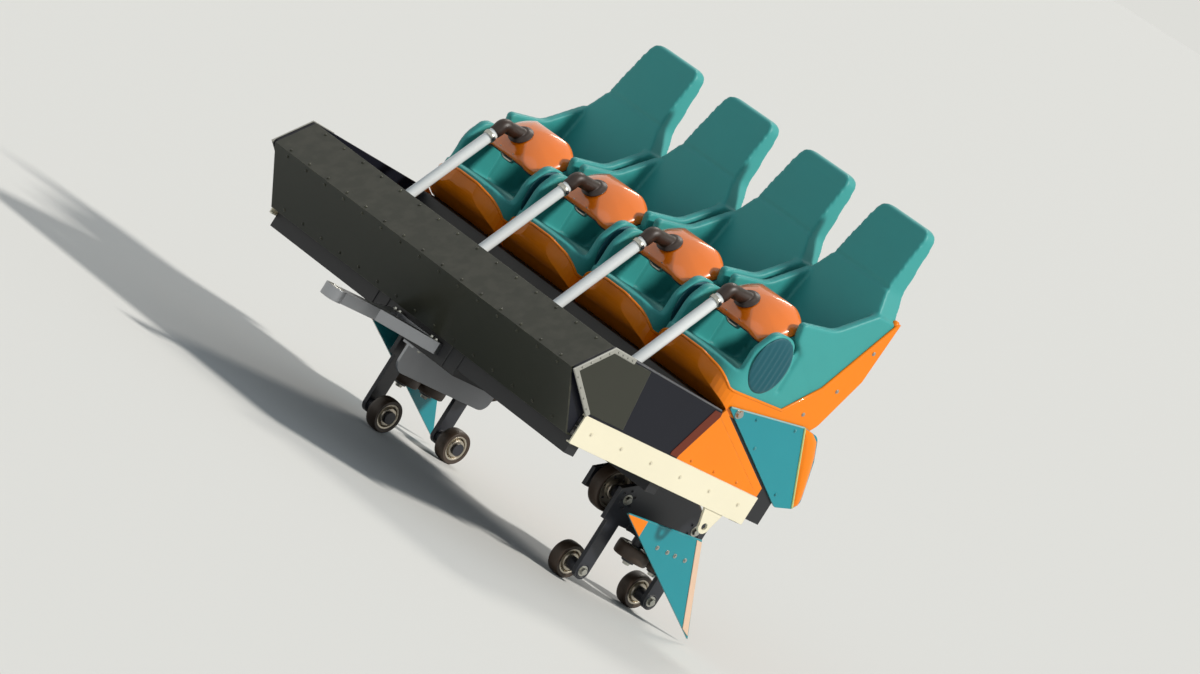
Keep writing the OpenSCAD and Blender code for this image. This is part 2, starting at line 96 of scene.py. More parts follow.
def addNode(tree, kind, feeds=None, **settings):
    # nodes stand in the order that they are made, six to a row
    row, column = divmod(len(tree.nodes), 6)
    node = tree.nodes.new(kind)
    node.location = (240 * column, -340 * row)
    for key, value in settings.items():
        setattr(node, key, value)
    feed(tree, node, feeds or {})
    return node.outputs


def mathNode(tree, operation, *values):
    feeds = dict(enumerate(values))
    return addNode(tree, "ShaderNodeMath", feeds, operation=operation)["Value"]


def mixNode(tree, factor, a, b):
    feeds = {"Factor": factor, "A": a, "B": b}
    return addNode(tree, "ShaderNodeMix", feeds, data_type="RGBA")["Result"]


def newTree(name, kind, inputs, outputs):
    # a socket is given by its first value, or else by its kind
    tree = bpy.data.node_groups.new(name, kind)
    for direction, table in (("INPUT", inputs), ("OUTPUT", outputs)):
        for label, value in table.items():
            valueKind = value if isinstance(value, str) else type(value).__name__.title()
            socket = tree.interface.new_socket(
                name=label, in_out=direction, socket_type="NodeSocket" + valueKind)
            if valueKind != value:
                socket.default_value = value
    return tree, addNode(tree, "NodeGroupInput")


def buildWearGroup():
    # edge mask from rounded normals, for wear on paint and metal and a painted highlight along the
    # seat skins' edges; soil on what faces up, and the rounded normal itself
    tree, start = newTree("edgeWearAndHighlight", "ShaderNodeTree", {"Width": 0.004, "Scale": 14.0},
                          {"Edge": "Float", "Soil": "Float", "Normal": "Vector"})
    bevel = addNode(tree, "ShaderNodeBevel", {"Radius": start["Width"]}, samples=4)
    geometry = addNode(tree, "ShaderNodeNewGeometry")
    spot = addNode(tree, "ShaderNodeTexCoord")
    speckle = addNode(tree, "ShaderNodeTexNoise", {
        "Vector": spot["Object"], "Scale": start["Scale"], "Detail": 6.0})
    dot = addNode(tree, "ShaderNodeVectorMath", {0: bevel["Normal"], 1: geometry["Normal"]},
                  operation="DOT_PRODUCT")
    turned = addNode(tree, "ShaderNodeMapRange", {
        "Value": dot["Value"], "From Min": 0.985, "From Max": 0.9}, interpolation_type="SMOOTHSTEP")
    broken = addNode(tree, "ShaderNodeMapRange", {
        "Value": speckle["Fac"], "From Min": 0.42, "From Max": 0.62})
    up = addNode(tree, "ShaderNodeSeparateXYZ", {"Vector": geometry["Normal"]})
    flat = addNode(tree, "ShaderNodeMapRange", {"Value": up["Z"], "From Min": 0.3, "From Max": 1.0})
    addNode(tree, "NodeGroupOutput", {
        "Edge": mathNode(tree, "MULTIPLY", turned["Result"], broken["Result"]),
        "Soil": mathNode(tree, "MULTIPLY", flat["Result"], broken["Result"]),
        "Normal": bevel["Normal"]})
    return tree


def buildGrainGroup():
    # fine height for a bump and a broad tone for the colour
    tree, start = newTree("surfaceGrain", "ShaderNodeTree",
                          {"Grain": 400.0, "Along": 1.0, "Patch": 3.0},
                          {"Height": "Float", "Tone": "Float"})
    spot = addNode(tree, "ShaderNodeTexCoord")
    stretch = addNode(tree, "ShaderNodeCombineXYZ", {"X": start["Along"], "Y": 1.0, "Z": 1.0})
    scaled = addNode(tree, "ShaderNodeVectorMath", {0: spot["Object"], 1: stretch["Vector"]},
                     operation="MULTIPLY")
    fine = addNode(tree, "ShaderNodeTexNoise", {
        "Vector": scaled["Vector"], "Scale": start["Grain"], "Detail": 3.0})
    broad = addNode(tree, "ShaderNodeTexNoise", {
        "Vector": spot["Object"], "Scale": start["Patch"], "Detail": 4.0, "Roughness": 0.6})
    addNode(tree, "NodeGroupOutput", {"Height": fine["Fac"], "Tone": broad["Fac"]})
    return tree


wearAndHighlightGroup = buildWearGroup()
grainGroup = buildGrainGroup()
roughSpread = 0.06  # how far a finish's roughness goes up and down with its tone


def makeFinish(name, color, rough, tone, grain, bump, edge, edgeColor, metal=0.0, coat=0.0,
               coatRough=0.1, sheen=0.0, shine=0.5, along=1.0, edgeWidth=0.004, soil=0.15,
               soilColor="#6d675c"):
    material = bpy.data.materials.new(name)
    material.use_nodes = True
    tree = material.node_tree
    base = paint(color)
    material.diffuse_color = base

    def toned(times, lift=0.0):
        return [min(1, c * times + lift) for c in base[:3]] + [1]

    wearAndHighlight = addNode(tree, "ShaderNodeGroup", {"Width": edgeWidth}, node_tree=wearAndHighlightGroup)
    texture = addNode(tree, "ShaderNodeGroup", {"Grain": grain, "Along": along},
                      node_tree=grainGroup)
    # edges take the edge colour: wear on paint and metal, a painted highlight on the seat skins;
    # with no colour given they are painted lighter
    wornAndLitEdges = mixNode(tree, mathNode(tree, "MULTIPLY", wearAndHighlight["Edge"], edge),
                   mixNode(tree, texture["Tone"], toned(1 - tone), toned(1 + tone)),
                   paint(edgeColor) if edgeColor else toned(1.6, 0.02))
    dusty = mixNode(tree, mathNode(tree, "MULTIPLY", wearAndHighlight["Soil"], soil), wornAndLitEdges, paint(soilColor))
    roughness = addNode(tree, "ShaderNodeMapRange", {
        "Value": texture["Tone"], "To Min": max(0.03, rough - roughSpread),
        "To Max": min(1.0, rough + roughSpread)})
    relief = addNode(tree, "ShaderNodeBump", {
        "Strength": bump, "Distance": 0.001, "Height": texture["Height"], "Normal": wearAndHighlight["Normal"]})
    feed(tree, tree.nodes["Principled BSDF"], {
        "Metallic": metal, "Specular IOR Level": shine, "Coat Weight": coat,
        "Coat Roughness": coatRough, "Sheen Weight": sheen, "Base Color": dusty,
        "Roughness": roughness["Result"], "Normal": relief["Normal"]})
    return material


# colour, roughness, spread of tone, grain's scale, bump, worn edges (painted highlights on the seat
# skins) and their colour, and the rest
finishes = {
    "creamPaint": ("#ece4c8", 0.38, 0.05, 350, 0.05, 0.55, "#8d8576",
                   dict(coat=0.25, soil=0.25, soilColor="#8a7f68")),
    "orangeGloss": ("#f5830a", 0.24, 0.06, 260, 0.03, 0.35, "#ffc27a",
                    dict(coat=0.3, coatRough=0.07, shine=0.15, soil=0.05)),
    "padGloss": ("#f0760a", 0.2, 0.06, 260, 0.02, 0.35, "#ffc27a",
                 dict(coat=1.0, coatRough=0.05, soil=0.04)),
    "tealPaint": ("#158a94", 0.34, 0.07, 300, 0.05, 0.5, "#9ccfc6",
                  dict(coat=0.3, coatRough=0.15, shine=0.3, soil=0.1)),
    # the seat skin's pale edge colour is a painted highlight along its edges
    "tealSkin": ("#389b97", 0.46, 0.08, 900, 0.22, 0.35, "#8fd0c8",
                 dict(sheen=0.08, shine=0.35, edgeWidth=0.006, soil=0.08)),
    # dark teal of the lobe pads: partly their own darker colour, partly painted shade; their pale
    # edges are a painted highlight on the ribs
    "lobeDarkSkinAndShade": ("#12545f", 0.5, 0.08, 900, 0.2, 0.45, "#6fbdb8",
                 dict(sheen=0.08, shine=0.3, edgeWidth=0.006, soil=0.08)),
    "blackPanel": ("#11131d", 0.45, 0.15, 1100, 0.2, 0.5, "#5b5d66", dict(shine=0.25, soil=0.2)),
    "olivePanel": ("#2a2b20", 0.34, 0.12, 300, 0.05, 0.5, "#86866f",
                   dict(coat=0.25, coatRough=0.12, shine=0.3, soil=0.2)),
    "greyEdging": ("#9c9b92", 0.5, 0.1, 700, 0.12, 0.4, "#c9c7bb", {}),
    "darkEdging": ("#55565a", 0.45, 0.1, 700, 0.1, 0.4, "#9a9a96", {}),
    "framePaint": ("#17181c", 0.45, 0.2, 260, 0.1, 0.6, "#6a675f",
                   dict(soil=0.3, soilColor="#57503f")),
    "steelPaint": ("#24262d", 0.4, 0.2, 260, 0.1, 0.65, "#7a7870",
                   dict(soil=0.3, soilColor="#57503f")),
    "bareSteel": ("#9a9ca0", 0.38, 0.14, 420, 0.12, 0.6, "#d5d7d8",
                  dict(metal=1.0, along=0.06, soil=0.25, soilColor="#4a443a")),
    "whitePaint": ("#e9ecea", 0.22, 0.04, 300, 0.03, 0.4, "#a3a6a8",
                   dict(coat=0.7, coatRough=0.08, soil=0.06)),
    "floorSheet": ("#20222a", 0.55, 0.2, 900, 0.35, 0.6, "#83858a",
                   dict(metal=0.3, soil=0.2, soilColor="#5d574b")),
    "tyre": ("#3a2c20", 0.5, 0.15, 600, 0.12, 0.5, "#5e4b39", dict(soil=0.3, soilColor="#4b453b")),
    "wheelHub": ("#b9b1a2", 0.33, 0.1, 500, 0.1, 0.5, "#e2dfd6",
                 dict(metal=0.9, along=0.3, soil=0.2)),
    "zincBolt": ("#b4b3ab", 0.32, 0.1, 800, 0.08, 0.4, "#e6e5df", dict(metal=1.0, edgeWidth=0.001)),
    "darkBolt": ("#4a4b4f", 0.4, 0.1, 800, 0.08, 0.4, "#9c9da0", dict(metal=0.9, edgeWidth=0.001)),
    "sillBolt": ("#e0d8be", 0.4, 0.06, 800, 0.05, 0.3, "#b5ab94", dict(edgeWidth=0.001)),
    # yellow-green for the fin's fold: a painted highlight
    "foldHighlightPaint": ("#c3cf86", 0.35, 0.06, 400, 0.05, 0.3, None, dict(coat=0.3)),
    # pale teal for the fin's top edge: a painted highlight
    "highlightTeal": ("#8db7b6", 0.4, 0.05, 400, 0.05, 0.3, None, dict(coat=0.2)),
    "paleStrip": ("#e2bfa3", 0.4, 0.06, 400, 0.05, 0.3, None, dict(coat=0.3)),
    # dark orange for the fender's front band: painted shade
    "shadeOrange": ("#662304", 0.35, 0.1, 260, 0.03, 0.3, None, dict(coat=0.2, shine=0.25)),
    # dark brown for the restraint necks: partly rubber, partly painted shade
    "shadeDarkRubber": ("#2a1a12", 0.45, 0.15, 700, 0.15, 0.3, "#6b4a33", {}),
    "darkFoam": ("#15181c", 0.62, 0.12, 1200, 0.35, 0.2, None, dict(sheen=0.15)),
}
look = {name: makeFinish(name, *values, **others) for name, (*values, others) in finishes.items()}
print("finishes made:", len(look))

nodeLook = {
    "chassis_frame": "framePaint", "axle_beam": "steelPaint", "drawbar": "bareSteel",
    "brake_blade": "bareSteel", "floor_pan": "floorSheet", "toe_board": "olivePanel",
    "seat_bench": "framePaint", "back_frame": "steelPaint", "restraint_brackets": "bareSteel",
    "sill": "creamPaint", "side_panel": "blackPanel", "fender": "orangeGloss", "fin": "tealPaint",
    "bogie_fairing": "tealPaint", "bogie": "steelPaint", "seat_shell": "orangeGloss",
    "seat": "tealSkin", "restraint_arm": "whitePaint", "restraint_pad": "orangeGloss",
    "load_wheel": "tyre", "guide_wheel": "tyre", "upstop_wheel": "tyre",
}
for name, cadNode in cadNodes.items():
    key = max((k for k in nodeLook if name == k or name.startswith(k + "_")), key=len)
    cadNode.data.materials.clear()
    cadNode.data.materials.append(look[nodeLook[key]])


# Making meshes
def addToScene(name, data):
    thing = bpy.data.objects.new(name, data)
    bpy.context.scene.collection.objects.link(thing)
    return thing


def addPiece(name, mesh, finish, body=None):
    # mesh may be a list of them
    if isinstance(mesh, list):
        mesh = joined(mesh)
    mesh.name = name
    piece = addToScene(name, mesh)
    mesh.materials.clear()
    mesh.materials.append(look[finish])
    if body:
        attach(piece, body)
    return piece


def meshFrom(bm, smooth=None):
    # smooth is the angle over which an edge stays sharp
    bmesh.ops.remove_doubles(bm, verts=bm.verts, dist=1e-6)
    bmesh.ops.recalc_face_normals(bm, faces=bm.faces)
    mesh = bpy.data.meshes.new("part")
    bm.to_mesh(mesh)
    bm.free()
    if smooth is not None:
        mesh.shade_smooth()
        mesh.set_sharp_from_angle(angle=radians(smooth))
    return mesh


def settle(piece):
    # what the modifiers make becomes the piece's own mesh
    graph = bpy.context.evaluated_depsgraph_get()
    mesh = bpy.data.meshes.new_from_object(piece.evaluated_get(graph))
    piece.modifiers.clear()
    piece.data = mesh


def grow(piece, tree, values):
    # runs a node tree with the values of its named inputs
    modifier = piece.modifiers.new(tree.name, "NODES")
    modifier.node_group = tree
    for item in tree.interface.items_tree:
        if item.item_type == "SOCKET" and item.in_out == "INPUT" and item.name in values:
            modifier[item.identifier] = values[item.name]
    settle(piece)


def bridge(bm, rings, around=True):
    # faces from each ring to the next; around says that the rings are closed
    for one, two in zip(rings, rings[1:]):
        for j in range(0 if around else 1, len(one)):
            bm.faces.new((one[j - 1], one[j], two[j], two[j - 1]))


def fan(bm, ring, tip):
    for j in range(len(ring)):
        bm.faces.new((ring[j - 1], ring[j], tip))


def solid(bm, rings):
    bridge(bm, rings)
    bm.faces.new(rings[0])
    bm.faces.new(rings[-1])


def plateMesh(outline, thick, facing):
    # outline is a list of points in one plane; facing is the way that its thickness goes
    bm = bmesh.new()
    step = Vector(facing) * thick
    solid(bm, [[bm.verts.new(p + k * step) for p in outline] for k in (0, 1)])
    return meshFrom(bm)


def sweepMesh(path, section, facing):
    # section is a list of (across, out) pairs; out is along facing, and corners are mitred
    bm = bmesh.new()
    facing = Vector(facing)
    rings = []
    for k, point in enumerate(path):
        a = (point - path[k - 1]).normalized() if k else (path[1] - point).normalized()
        b = (path[k + 1] - point).normalized() if k < len(path) - 1 else a
        tangent = (a + b).normalized()
        across = facing.cross(tangent).normalized()
        out = tangent.cross(across).normalized()
        stretch = 1 / max(0.35, across.dot(facing.cross(a).normalized()))
        rings.append([bm.verts.new(point + across * u * stretch + out * v) for u, v in section])
    solid(bm, rings)
    return meshFrom(bm, 35)


def tubeMesh(path, radius, sides=10, closed=False):
    # a round bead along a bent path, without twist; radius may be one for each point
    bm = bmesh.new()
    count = len(path)
    radii = radius if isinstance(radius, list) else [radius] * count
    tangents = []
    for k in range(count):
        before = path[k - 1] if closed or k else path[k]
        after = path[(k + 1) % count] if closed or k < count - 1 else path[k]
        tangents.append((after - before).normalized())
    side = tangents[0].orthogonal().normalized()
    turns = [2 * pi * j / sides for j in range(sides)]
    rings = []
    for k, point in enumerate(path):
        if k:
            side = tangents[k - 1].rotation_difference(tangents[k]) @ side
        side = (side - tangents[k] * side.dot(tangents[k])).normalized()
        other = tangents[k].cross(side)
        rings.append([bm.verts.new(point + radii[k] * (side * cos(a) + other * sin(a)))
                      for a in turns])
    if closed:
        bridge(bm, rings + rings[:1])
    else:
        solid(bm, rings)
    return meshFrom(bm, 40)


def latheMesh(profile, center, axis, segments=56):
    # profile is a closed list of (radius, along) pairs
    bm = bmesh.new()
    turn = Vector(axis).normalized().to_track_quat("Z", "Y").to_matrix()
    rings = []
    for k in range(segments):
        c, s = cos(2 * pi * k / segments), sin(2 * pi * k / segments)
        rings.append([bm.verts.new(center + turn @ Vector((r * c, r * s, z))) for r, z in profile])
    bridge(bm, rings + rings[:1])
    return meshFrom(bm, 40)


def joined(meshes):
    bm = bmesh.new()
    for mesh in meshes:
        bm.from_mesh(mesh)
        bpy.data.meshes.remove(mesh)
    whole = bpy.data.meshes.new("parts")
    bm.to_mesh(whole)
    bm.free()
    return whole


def arc(middle, radius, start, end, count):
    # points of a circle in one plane, angles in degrees
    angles = [radians(start + (end - start) * k / (count - 1)) for k in range(count)]
    return [(middle[0] + radius * cos(a), middle[1] + radius * sin(a)) for a in angles]


def mirrored(profile):
    # the other half of a profile whose second value changes its sign
    return profile + [(r, -z) for r, z in reversed(profile)]


# Instances on points, for bolts and tread studs
def putOnPoints(tree, points, instance, others, finish):
    put = addNode(tree, "GeometryNodeInstanceOnPoints", {
        "Points": points["Points"], "Instance": instance, **others})
    real = addNode(tree, "GeometryNodeRealizeInstances", {"Geometry": put["Instances"]})
    painted = addNode(tree, "GeometryNodeSetMaterial", {
        "Geometry": real["Geometry"], "Material": finish})
    addNode(tree, "NodeGroupOutput", {"Geometry": painted["Geometry"]})


# Bolts and rivets: finish, radius and height of the head, radius of the washer, corners
boltKinds = {
    "hubBolts": ("darkBolt", 0.005, 0.004, 0.007, 6),
    "clampBolts": ("darkBolt", 0.007, 0.006, 0.0095, 6),
    "tubScrews": ("zincBolt", 0.007, 0.0035, 0.0105, 8),
    "edgingRivets": ("greyEdging", 0.0045, 0.0025, 0.006, 10),
    "sillBolts": ("sillBolt", 0.007, 0.003, 0.01, 8),
    "finLatch": ("zincBolt", 0.02, 0.012, 0.026, 12),
    "finScrews": ("tealPaint", 0.006, 0.0035, 0.009, 8),
    "fenderScrews": ("orangeGloss", 0.005, 0.003, 0.008, 8),
    "fairingBolts": ("zincBolt", 0.008, 0.005, 0.012, 6),
    "noseRivets": ("olivePanel", 0.006, 0.003, 0.0085, 10),
    "benchRivets": ("framePaint", 0.006, 0.003, 0.0085, 10),
    "axleNuts": ("zincBolt", 0.021, 0.014, 0.028, 6),
    "capBolts": ("darkBolt", 0.0065, 0.005, 0.009, 6),
    "kingNut": ("zincBolt", 0.034, 0.02, 0.042, 6),
    "bladeBolts": ("zincBolt", 0.009, 0.006, 0.013, 6),
    "drawbarBolts": ("zincBolt", 0.011, 0.008, 0.016, 6),
    "beamEndBolts": ("zincBolt", 0.01, 0.007, 0.014, 6),
    "footBolts": ("zincBolt", 0.009, 0.007, 0.013, 6),
    "hingeNuts": ("zincBolt", 0.014, 0.009, 0.02, 6),
    "postBolts": ("zincBolt", 0.008, 0.006, 0.0115, 6),
}
boltForm = {"washer": 0.002, "washerSides": 16, "taper": 0.82}


def buildBoltTree():
    tree, start = newTree("boltHeads", "GeometryNodeTree", {
        "Geometry": "Geometry", "Head Radius": 0.009, "Head Height": 0.007,
        "Washer Radius": 0.013, "Washer Height": 0.002, "Corners": 6, "Finish": "Material",
    }, {"Geometry": "Geometry"})
    points = addNode(tree, "GeometryNodeMeshToPoints", {"Mesh": start["Geometry"]})
    aim = addNode(tree, "GeometryNodeInputNamedAttribute", {"Name": "aim"},
                  data_type="FLOAT_VECTOR")
    turn = addNode(tree, "FunctionNodeAlignRotationToVector", {
        "Vector": aim["Attribute"]}, axis="Z")
    topRadius = mathNode(tree, "MULTIPLY", start["Head Radius"], boltForm["taper"])
    head = addNode(tree, "GeometryNodeMeshCone", {
        "Vertices": start["Corners"], "Radius Top": topRadius,
        "Radius Bottom": start["Head Radius"], "Depth": start["Head Height"]})
    washer = addNode(tree, "GeometryNodeMeshCylinder", {
        "Vertices": boltForm["washerSides"], "Radius": start["Washer Radius"],
        "Depth": start["Washer Height"]})
    middle = mathNode(tree, "MULTIPLY", start["Washer Height"], 0.5)
    whole = addNode(tree, "GeometryNodeJoinGeometry")["Geometry"]
    for part, height in ((head, start["Washer Height"]), (washer, middle)):
        lift = addNode(tree, "ShaderNodeCombineXYZ", {"Z": height})
        raised = addNode(tree, "GeometryNodeTransform", {
            "Geometry": part["Mesh"], "Translation": lift["Vector"]})
        feed(tree, whole.node, {"Geometry": raised["Geometry"]})
    others = {"Rotation": turn["Rotation"]}
    putOnPoints(tree, points, whole, others, start["Finish"])
    return tree


boltTree = buildBoltTree()


def addBolts(name, body, spots, aim=None, kind=None):
    # spots is a list of (place, aim), or of places where one aim is given for all
    spots = [(p, aim) for p in spots] if aim else spots
    finish, radius, height, washer, corners = boltKinds[kind or name.split(".")[0]]
    seed = bpy.data.meshes.new(name + "Spots")
    seed.from_pydata([tuple(p) for p, _ in spots], [], [])
    aims = seed.attributes.new("aim", "FLOAT_VECTOR", "POINT")
    for k, (_, direction) in enumerate(spots):
        aims.data[k].vector = direction
    piece = addPiece(name, seed, finish)
    grow(piece, boltTree, {
        "Head Radius": radius, "Head Height": height, "Washer Radius": washer,
        "Washer Height": boltForm["washer"], "Corners": corners, "Finish": look[finish]})
    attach(piece, body)


# Seats
seatForm = {
    "voxel": 0.008,
    "smooth": 6,
    "crown": 0.012,
    "crownHalf": 0.24,
    "back": (0.6, 1.42),  # heights over the sills between which the back is crowned
    "backReach": 0.2,
    "cushion": (0.42, 0.56),
    "cushionReach": (0.05, 0.62),
    "crease": 1.16,
    "creaseWidth": 0.012,
    "creaseDepth": 0.006,
    # the wings' skin goes down to the cushion: outline as (x, height), nearer and farther face
    "skins": [([(0.03, 0.45), (0.246, 0.45), (0.246, 0.705), (0.03, 0.575)], 0.2395, 0.2805),
              ([(0.238, 0.45), (0.28, 0.45), (0.28, 0.725), (0.238, 0.7)], 0.252, 0.268)],
}


def remeshedSeat(i):
    bm = bmesh.new()
    bm.from_mesh(cadNodes[f"seat_{i}"].data)
    bmesh.ops.remove_doubles(bm, verts=bm.verts, dist=1e-5)
    for outline, *faces in seatForm["skins"]:
        for sign in (1, -1):
            solid(bm, [[bm.verts.new(atSeat(i, x, sign * y, h)) for x, h in outline]
                       for y in faces])
    piece = addPiece(f"seatBody{i}", meshFrom(bm), "tealSkin")
    remesh = piece.modifiers.new("remesh", "REMESH")
    remesh.mode = "VOXEL"
    remesh.voxel_size = seatForm["voxel"]
    relax = piece.modifiers.new("relax", "SMOOTH")
    relax.factor = 0.5
    relax.iterations = seatForm["smooth"]
    settle(piece)
    piece.data.shade_smooth()
    return piece


def makeSeat(i):
    piece = remeshedSeat(i)
    mesh = piece.data
    backLow, backHigh = seatForm["back"]
    low, high = seatForm["cushion"]
    rear, front = seatForm["cushionReach"]
    normals = [v.normal.copy() for v in mesh.vertices]
    for vertex, normal in zip(mesh.vertices, normals):
        x = vertex.co.x + car["mid"]
        h = vertex.co.z - car["sillTop"]
        beside = (vertex.co.y - seatY(i)) / seatForm["crownHalf"]
        crown = seatForm["crown"] * max(0.0, 1 - beside**2)
        push = 0.0
        if normal.x > 0.6 and backLow < h < backHigh and x < seatForm["backReach"]:
            push = crown * sin(pi * min(1, (h - backLow) / (backHigh - backLow))) ** 0.5
            over = (h - seatForm["crease"]) / seatForm["creaseWidth"]
            push -= seatForm["creaseDepth"] * exp(-over**2)
        elif normal.z > 0.7 and low < h < high and rear < x < front:
            push = crown
        vertex.co += normal * push
    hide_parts(f"seat_{i}")
    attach(piece, "car")


# Ribbed oval pads on the thigh lobes
lobeForm = {
    "middle": (0.4, 0.585),
    "half": (0.122, 0.148),
    "back": 0.276,
    "face": 0.2822,
    "rise": 0.0105,
    "rib": 0.0021,
    "ribPitch": 0.035,
    "rings": 18,
    "around": 72,
}


def makeLobePad(i, side):
    rings, around = lobeForm["rings"], lobeForm["around"]
    bm = bmesh.new()

    def at(share, k, y=None):
        angle = 2 * pi * k / around
        across = lobeForm["half"][0] * share * cos(angle)
        h = lobeForm["middle"][1] + lobeForm["half"][1] * share * sin(angle)
        if y is None:
            swell = (1 - share**2) ** 0.5
            rib = cos(2 * pi * across / lobeForm["ribPitch"]) * min(1, 1.6 * swell)
            y = lobeForm["face"] + lobeForm["rise"] * swell + lobeForm["rib"] * rib
        return bm.verts.new(atSeat(i, lobeForm["middle"][0] + across, sides[side] * y, h))

    rows = [[at((r / rings) ** 0.8, k) for k in range(around)] for r in range(1, rings + 1)]
    bridge(bm, rows)
    fan(bm, rows[0], at(0, 0))
    fan(bm, rows[-1], at(0, 0, lobeForm["back"]))
    mesh = meshFrom(bm, 60)
    # the pad's dark teal is partly painted shade
    addPiece(f"lobePad{i}.{side}", mesh, "lobeDarkSkinAndShade", "car")


for i in seats:
    makeSeat(i)
    for side in sides:
        makeLobePad(i, side)
print("seats made")

# Tubs' rolled rims, and the screws in the tubs
rimForm = {
    "bead": 0.0075,
    "knob": 0.021,
    "knobAxis": (0.45, 0, 0.9),
    "wall": 0.004,  # from the tub's outer face to the middle of its wall
    "line": [(-0.226, 1.036), (-0.196, 0.98), (0.0, 0.6), (0.17, 0.42), (0.55, 0.4),
             (0.668, 0.512)],
    "cornerMiddle": (0.4923, 0.16),
    "corner": 0.13,
    "cornerEnd": 10.7,
    "bowMiddle": (0.0444, 0),
    "bow": 0.6,
    "frontLimit": 0.636,
}
tubScrews = {"side": [(0.3, 0.345), (0.02, 0.45), (-0.1, 0.62), (-0.18, 0.86)],
             "rear": [(-0.2216, 0.76), (-0.2343, 0.98)], "rearY": 0.2, "rearAim": (-1, 0, -0.058)}


def rimHeight(x):
    line = rimForm["line"]
    for (x0, h0), (x1, h1) in zip(line, line[1:]):
        if x <= x1:
            return h0 + (h1 - h0) * (x - x0) / (x1 - x0)
    return line[-1][1]


def makeRims():
    wall, knob, edge = rimForm["wall"], rimForm["knob"], car["seatWidth"] / 2
    half = [(x, edge - wall) for x, _ in rimForm["line"][:4]]
    half += arc(rimForm["cornerMiddle"], rimForm["corner"] - wall, 90, rimForm["cornerEnd"], 9)
    half += arc(rimForm["bowMiddle"], rimForm["bow"] - wall, rimForm["cornerEnd"], 0, 6)[1:]
    half = [(min(x, rimForm["frontLimit"]), y) for x, y in half]
    whole = half + [(x, -y) for x, y in reversed(half[:-1])]
    dome = [(knob * c, knob * 0.8 * d) for c, d in arc((0, 0), 1, -30, 89, 9)]
    dome.insert(0, (0.001, -knob * 0.5))
    x, h = rimForm["line"][0]
    for i in seats:
        path = [atSeat(i, px, py, rimHeight(px)) for px, py in whole]
        parts = [tubeMesh(path, rimForm["bead"])]
        for sign in (1, -1):
            spot = atSeat(i, x + 0.006, sign * (edge - knob), h - 0.004)
            parts.append(latheMesh(dome, spot, rimForm["knobAxis"], 20))
        addPiece(f"tubRim{i}", parts, "orangeGloss", "car")


def makeTubScrews():
    spots = []
    for i in seats:
        for sign in (1, -1):
            for x, h in tubScrews["side"]:
                spots.append((atSeat(i, x, sign * car["seatWidth"] / 2, h), (0, sign, 0)))
            for x, h in tubScrews["rear"]:
                spots.append((atSeat(i, x, sign * tubScrews["rearY"], h), tubScrews["rearAim"]))
    addBolts("tubScrews", "car", spots)


# Wheels
wheelForm = {"tread": 0.024, "half": 0.035, "bore": 0.0256, "boss": 0.05, "lip": 0.014,
             "boltFace": 0.0115}
wheelKinds = {"load_wheel": (0.24, (0, 1, 0)), "guide_wheel": (0.18, (0, 0, 1)),
              "upstop_wheel": (0.18, (0, 1, 0))}


def makeWheel(node, radius, axis):
    half, boss = wheelForm["half"], wheelForm["boss"]
    rim = radius - wheelForm["tread"]
    lip = rim - wheelForm["lip"]
    low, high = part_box(node)
    center = (Vector(low) + Vector(high)) / 2
    tyre = mirrored([(rim, -half + 0.003), (radius - 0.007, -half), (radius - 0.002, -half + 0.005),
                     (radius, -0.012)])
    hub = mirrored([(wheelForm["bore"], -half), (boss - 0.005, -half),
                    (boss - 0.002, -half + 0.004), (boss, -0.014), (lip, -0.012),
                    (lip + 0.005, -half + 0.006), (rim, -half + 0.004)])
    piece = addPiece(f"tyre.{node}", latheMesh(tyre, center, axis), "tyre", node)
    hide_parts(node)
    addPiece(f"hub.{node}", latheMesh(hub, center, axis), "wheelHub", node)
    turn = Vector(axis).to_track_quat("Z", "Y").to_matrix()
    spots = []
    for x, y in arc((0, 0), (boss + lip) / 2, 0, 300, 6):
        for face in (1, -1):
            spots.append((center + turn @ Vector((x, y, face * wheelForm["boltFace"])),
                          turn @ Vector((0, 0, face))))
    addBolts(f"hubBolts.{node}", node, spots)


for kind, (diameter, axis) in wheelKinds.items():
    for side in sides:
        for end in ("front", "rear"):
            makeWheel(f"{kind}_{side}_{end}", diameter / 2, axis)
print("wheels made")

# Restraints
padForm = {
    "length": 0.29,
    "width": 0.46,
    "fillet": 0.1,
    "dome": 0.32,
    "domeMiddle": (0.2294, 1.3985),  # from the sills' rear end, and over the floor
    "tilt": 50,
    # (share of the outline, depth under the dome) from the middle over the edge and back
    "shell": [(0.0, 0), (0.2, 0), (0.4, 0), (0.56, 0), (0.7, 0), (0.8, 0), (0.88, 0.0002),
              (0.94, 0.001), (0.975, 0.003), (0.993, 0.007), (1.0, 0.012), (1.0, 0.018),
              (0.985, 0.022), (0.94, 0.023), (0.6, 0.023), (0.0, 0.023)],
    "foam": [(0.0, 0.05), (0.2, 0.05), (0.36, 0.0498), (0.5, 0.0493), (0.63, 0.0485),
             (0.74, 0.0475), (0.83, 0.0455), (0.9, 0.0425), (0.945, 0.0375), (0.965, 0.031),
             (0.96, 0.025), (0.93, 0.0215), (0.6, 0.0215), (0.0, 0.0215)],
    "channel": 0.075,  # sewn channels at each side of the middle, cut deeper than channelFrom
    "channelFrom": 0.031,
    "channelDepth": 0.006,
    "channelWidth": 0.009,
}
armForm = {
    "foot": (1.12, 0.755),
    "length": 0.99,
    "lean": 31,
    "radius": 0.028,
    "sleeve": 0.033,
    "sleeveStart": 0.062,  # from here to the next two, measured from the neck's bend
    "curve": (0.034, 0.036),
    "sleeveEnd": (0.09, 0.13, 0.174),
    "boot": [(0.02, -0.004), (0.062, -0.004), (0.064, 0), (0.06, 0.005), (0.05, 0.009),
             (0.046, 0.016), (0.042, 0.018), (0.02, 0.018)],
    "collar": 0.034,
    "collars": [(0.9, 0.022), (0.045, 0.012)],  # distance from the foot, length
    "clampBolt": 0.0335,
}
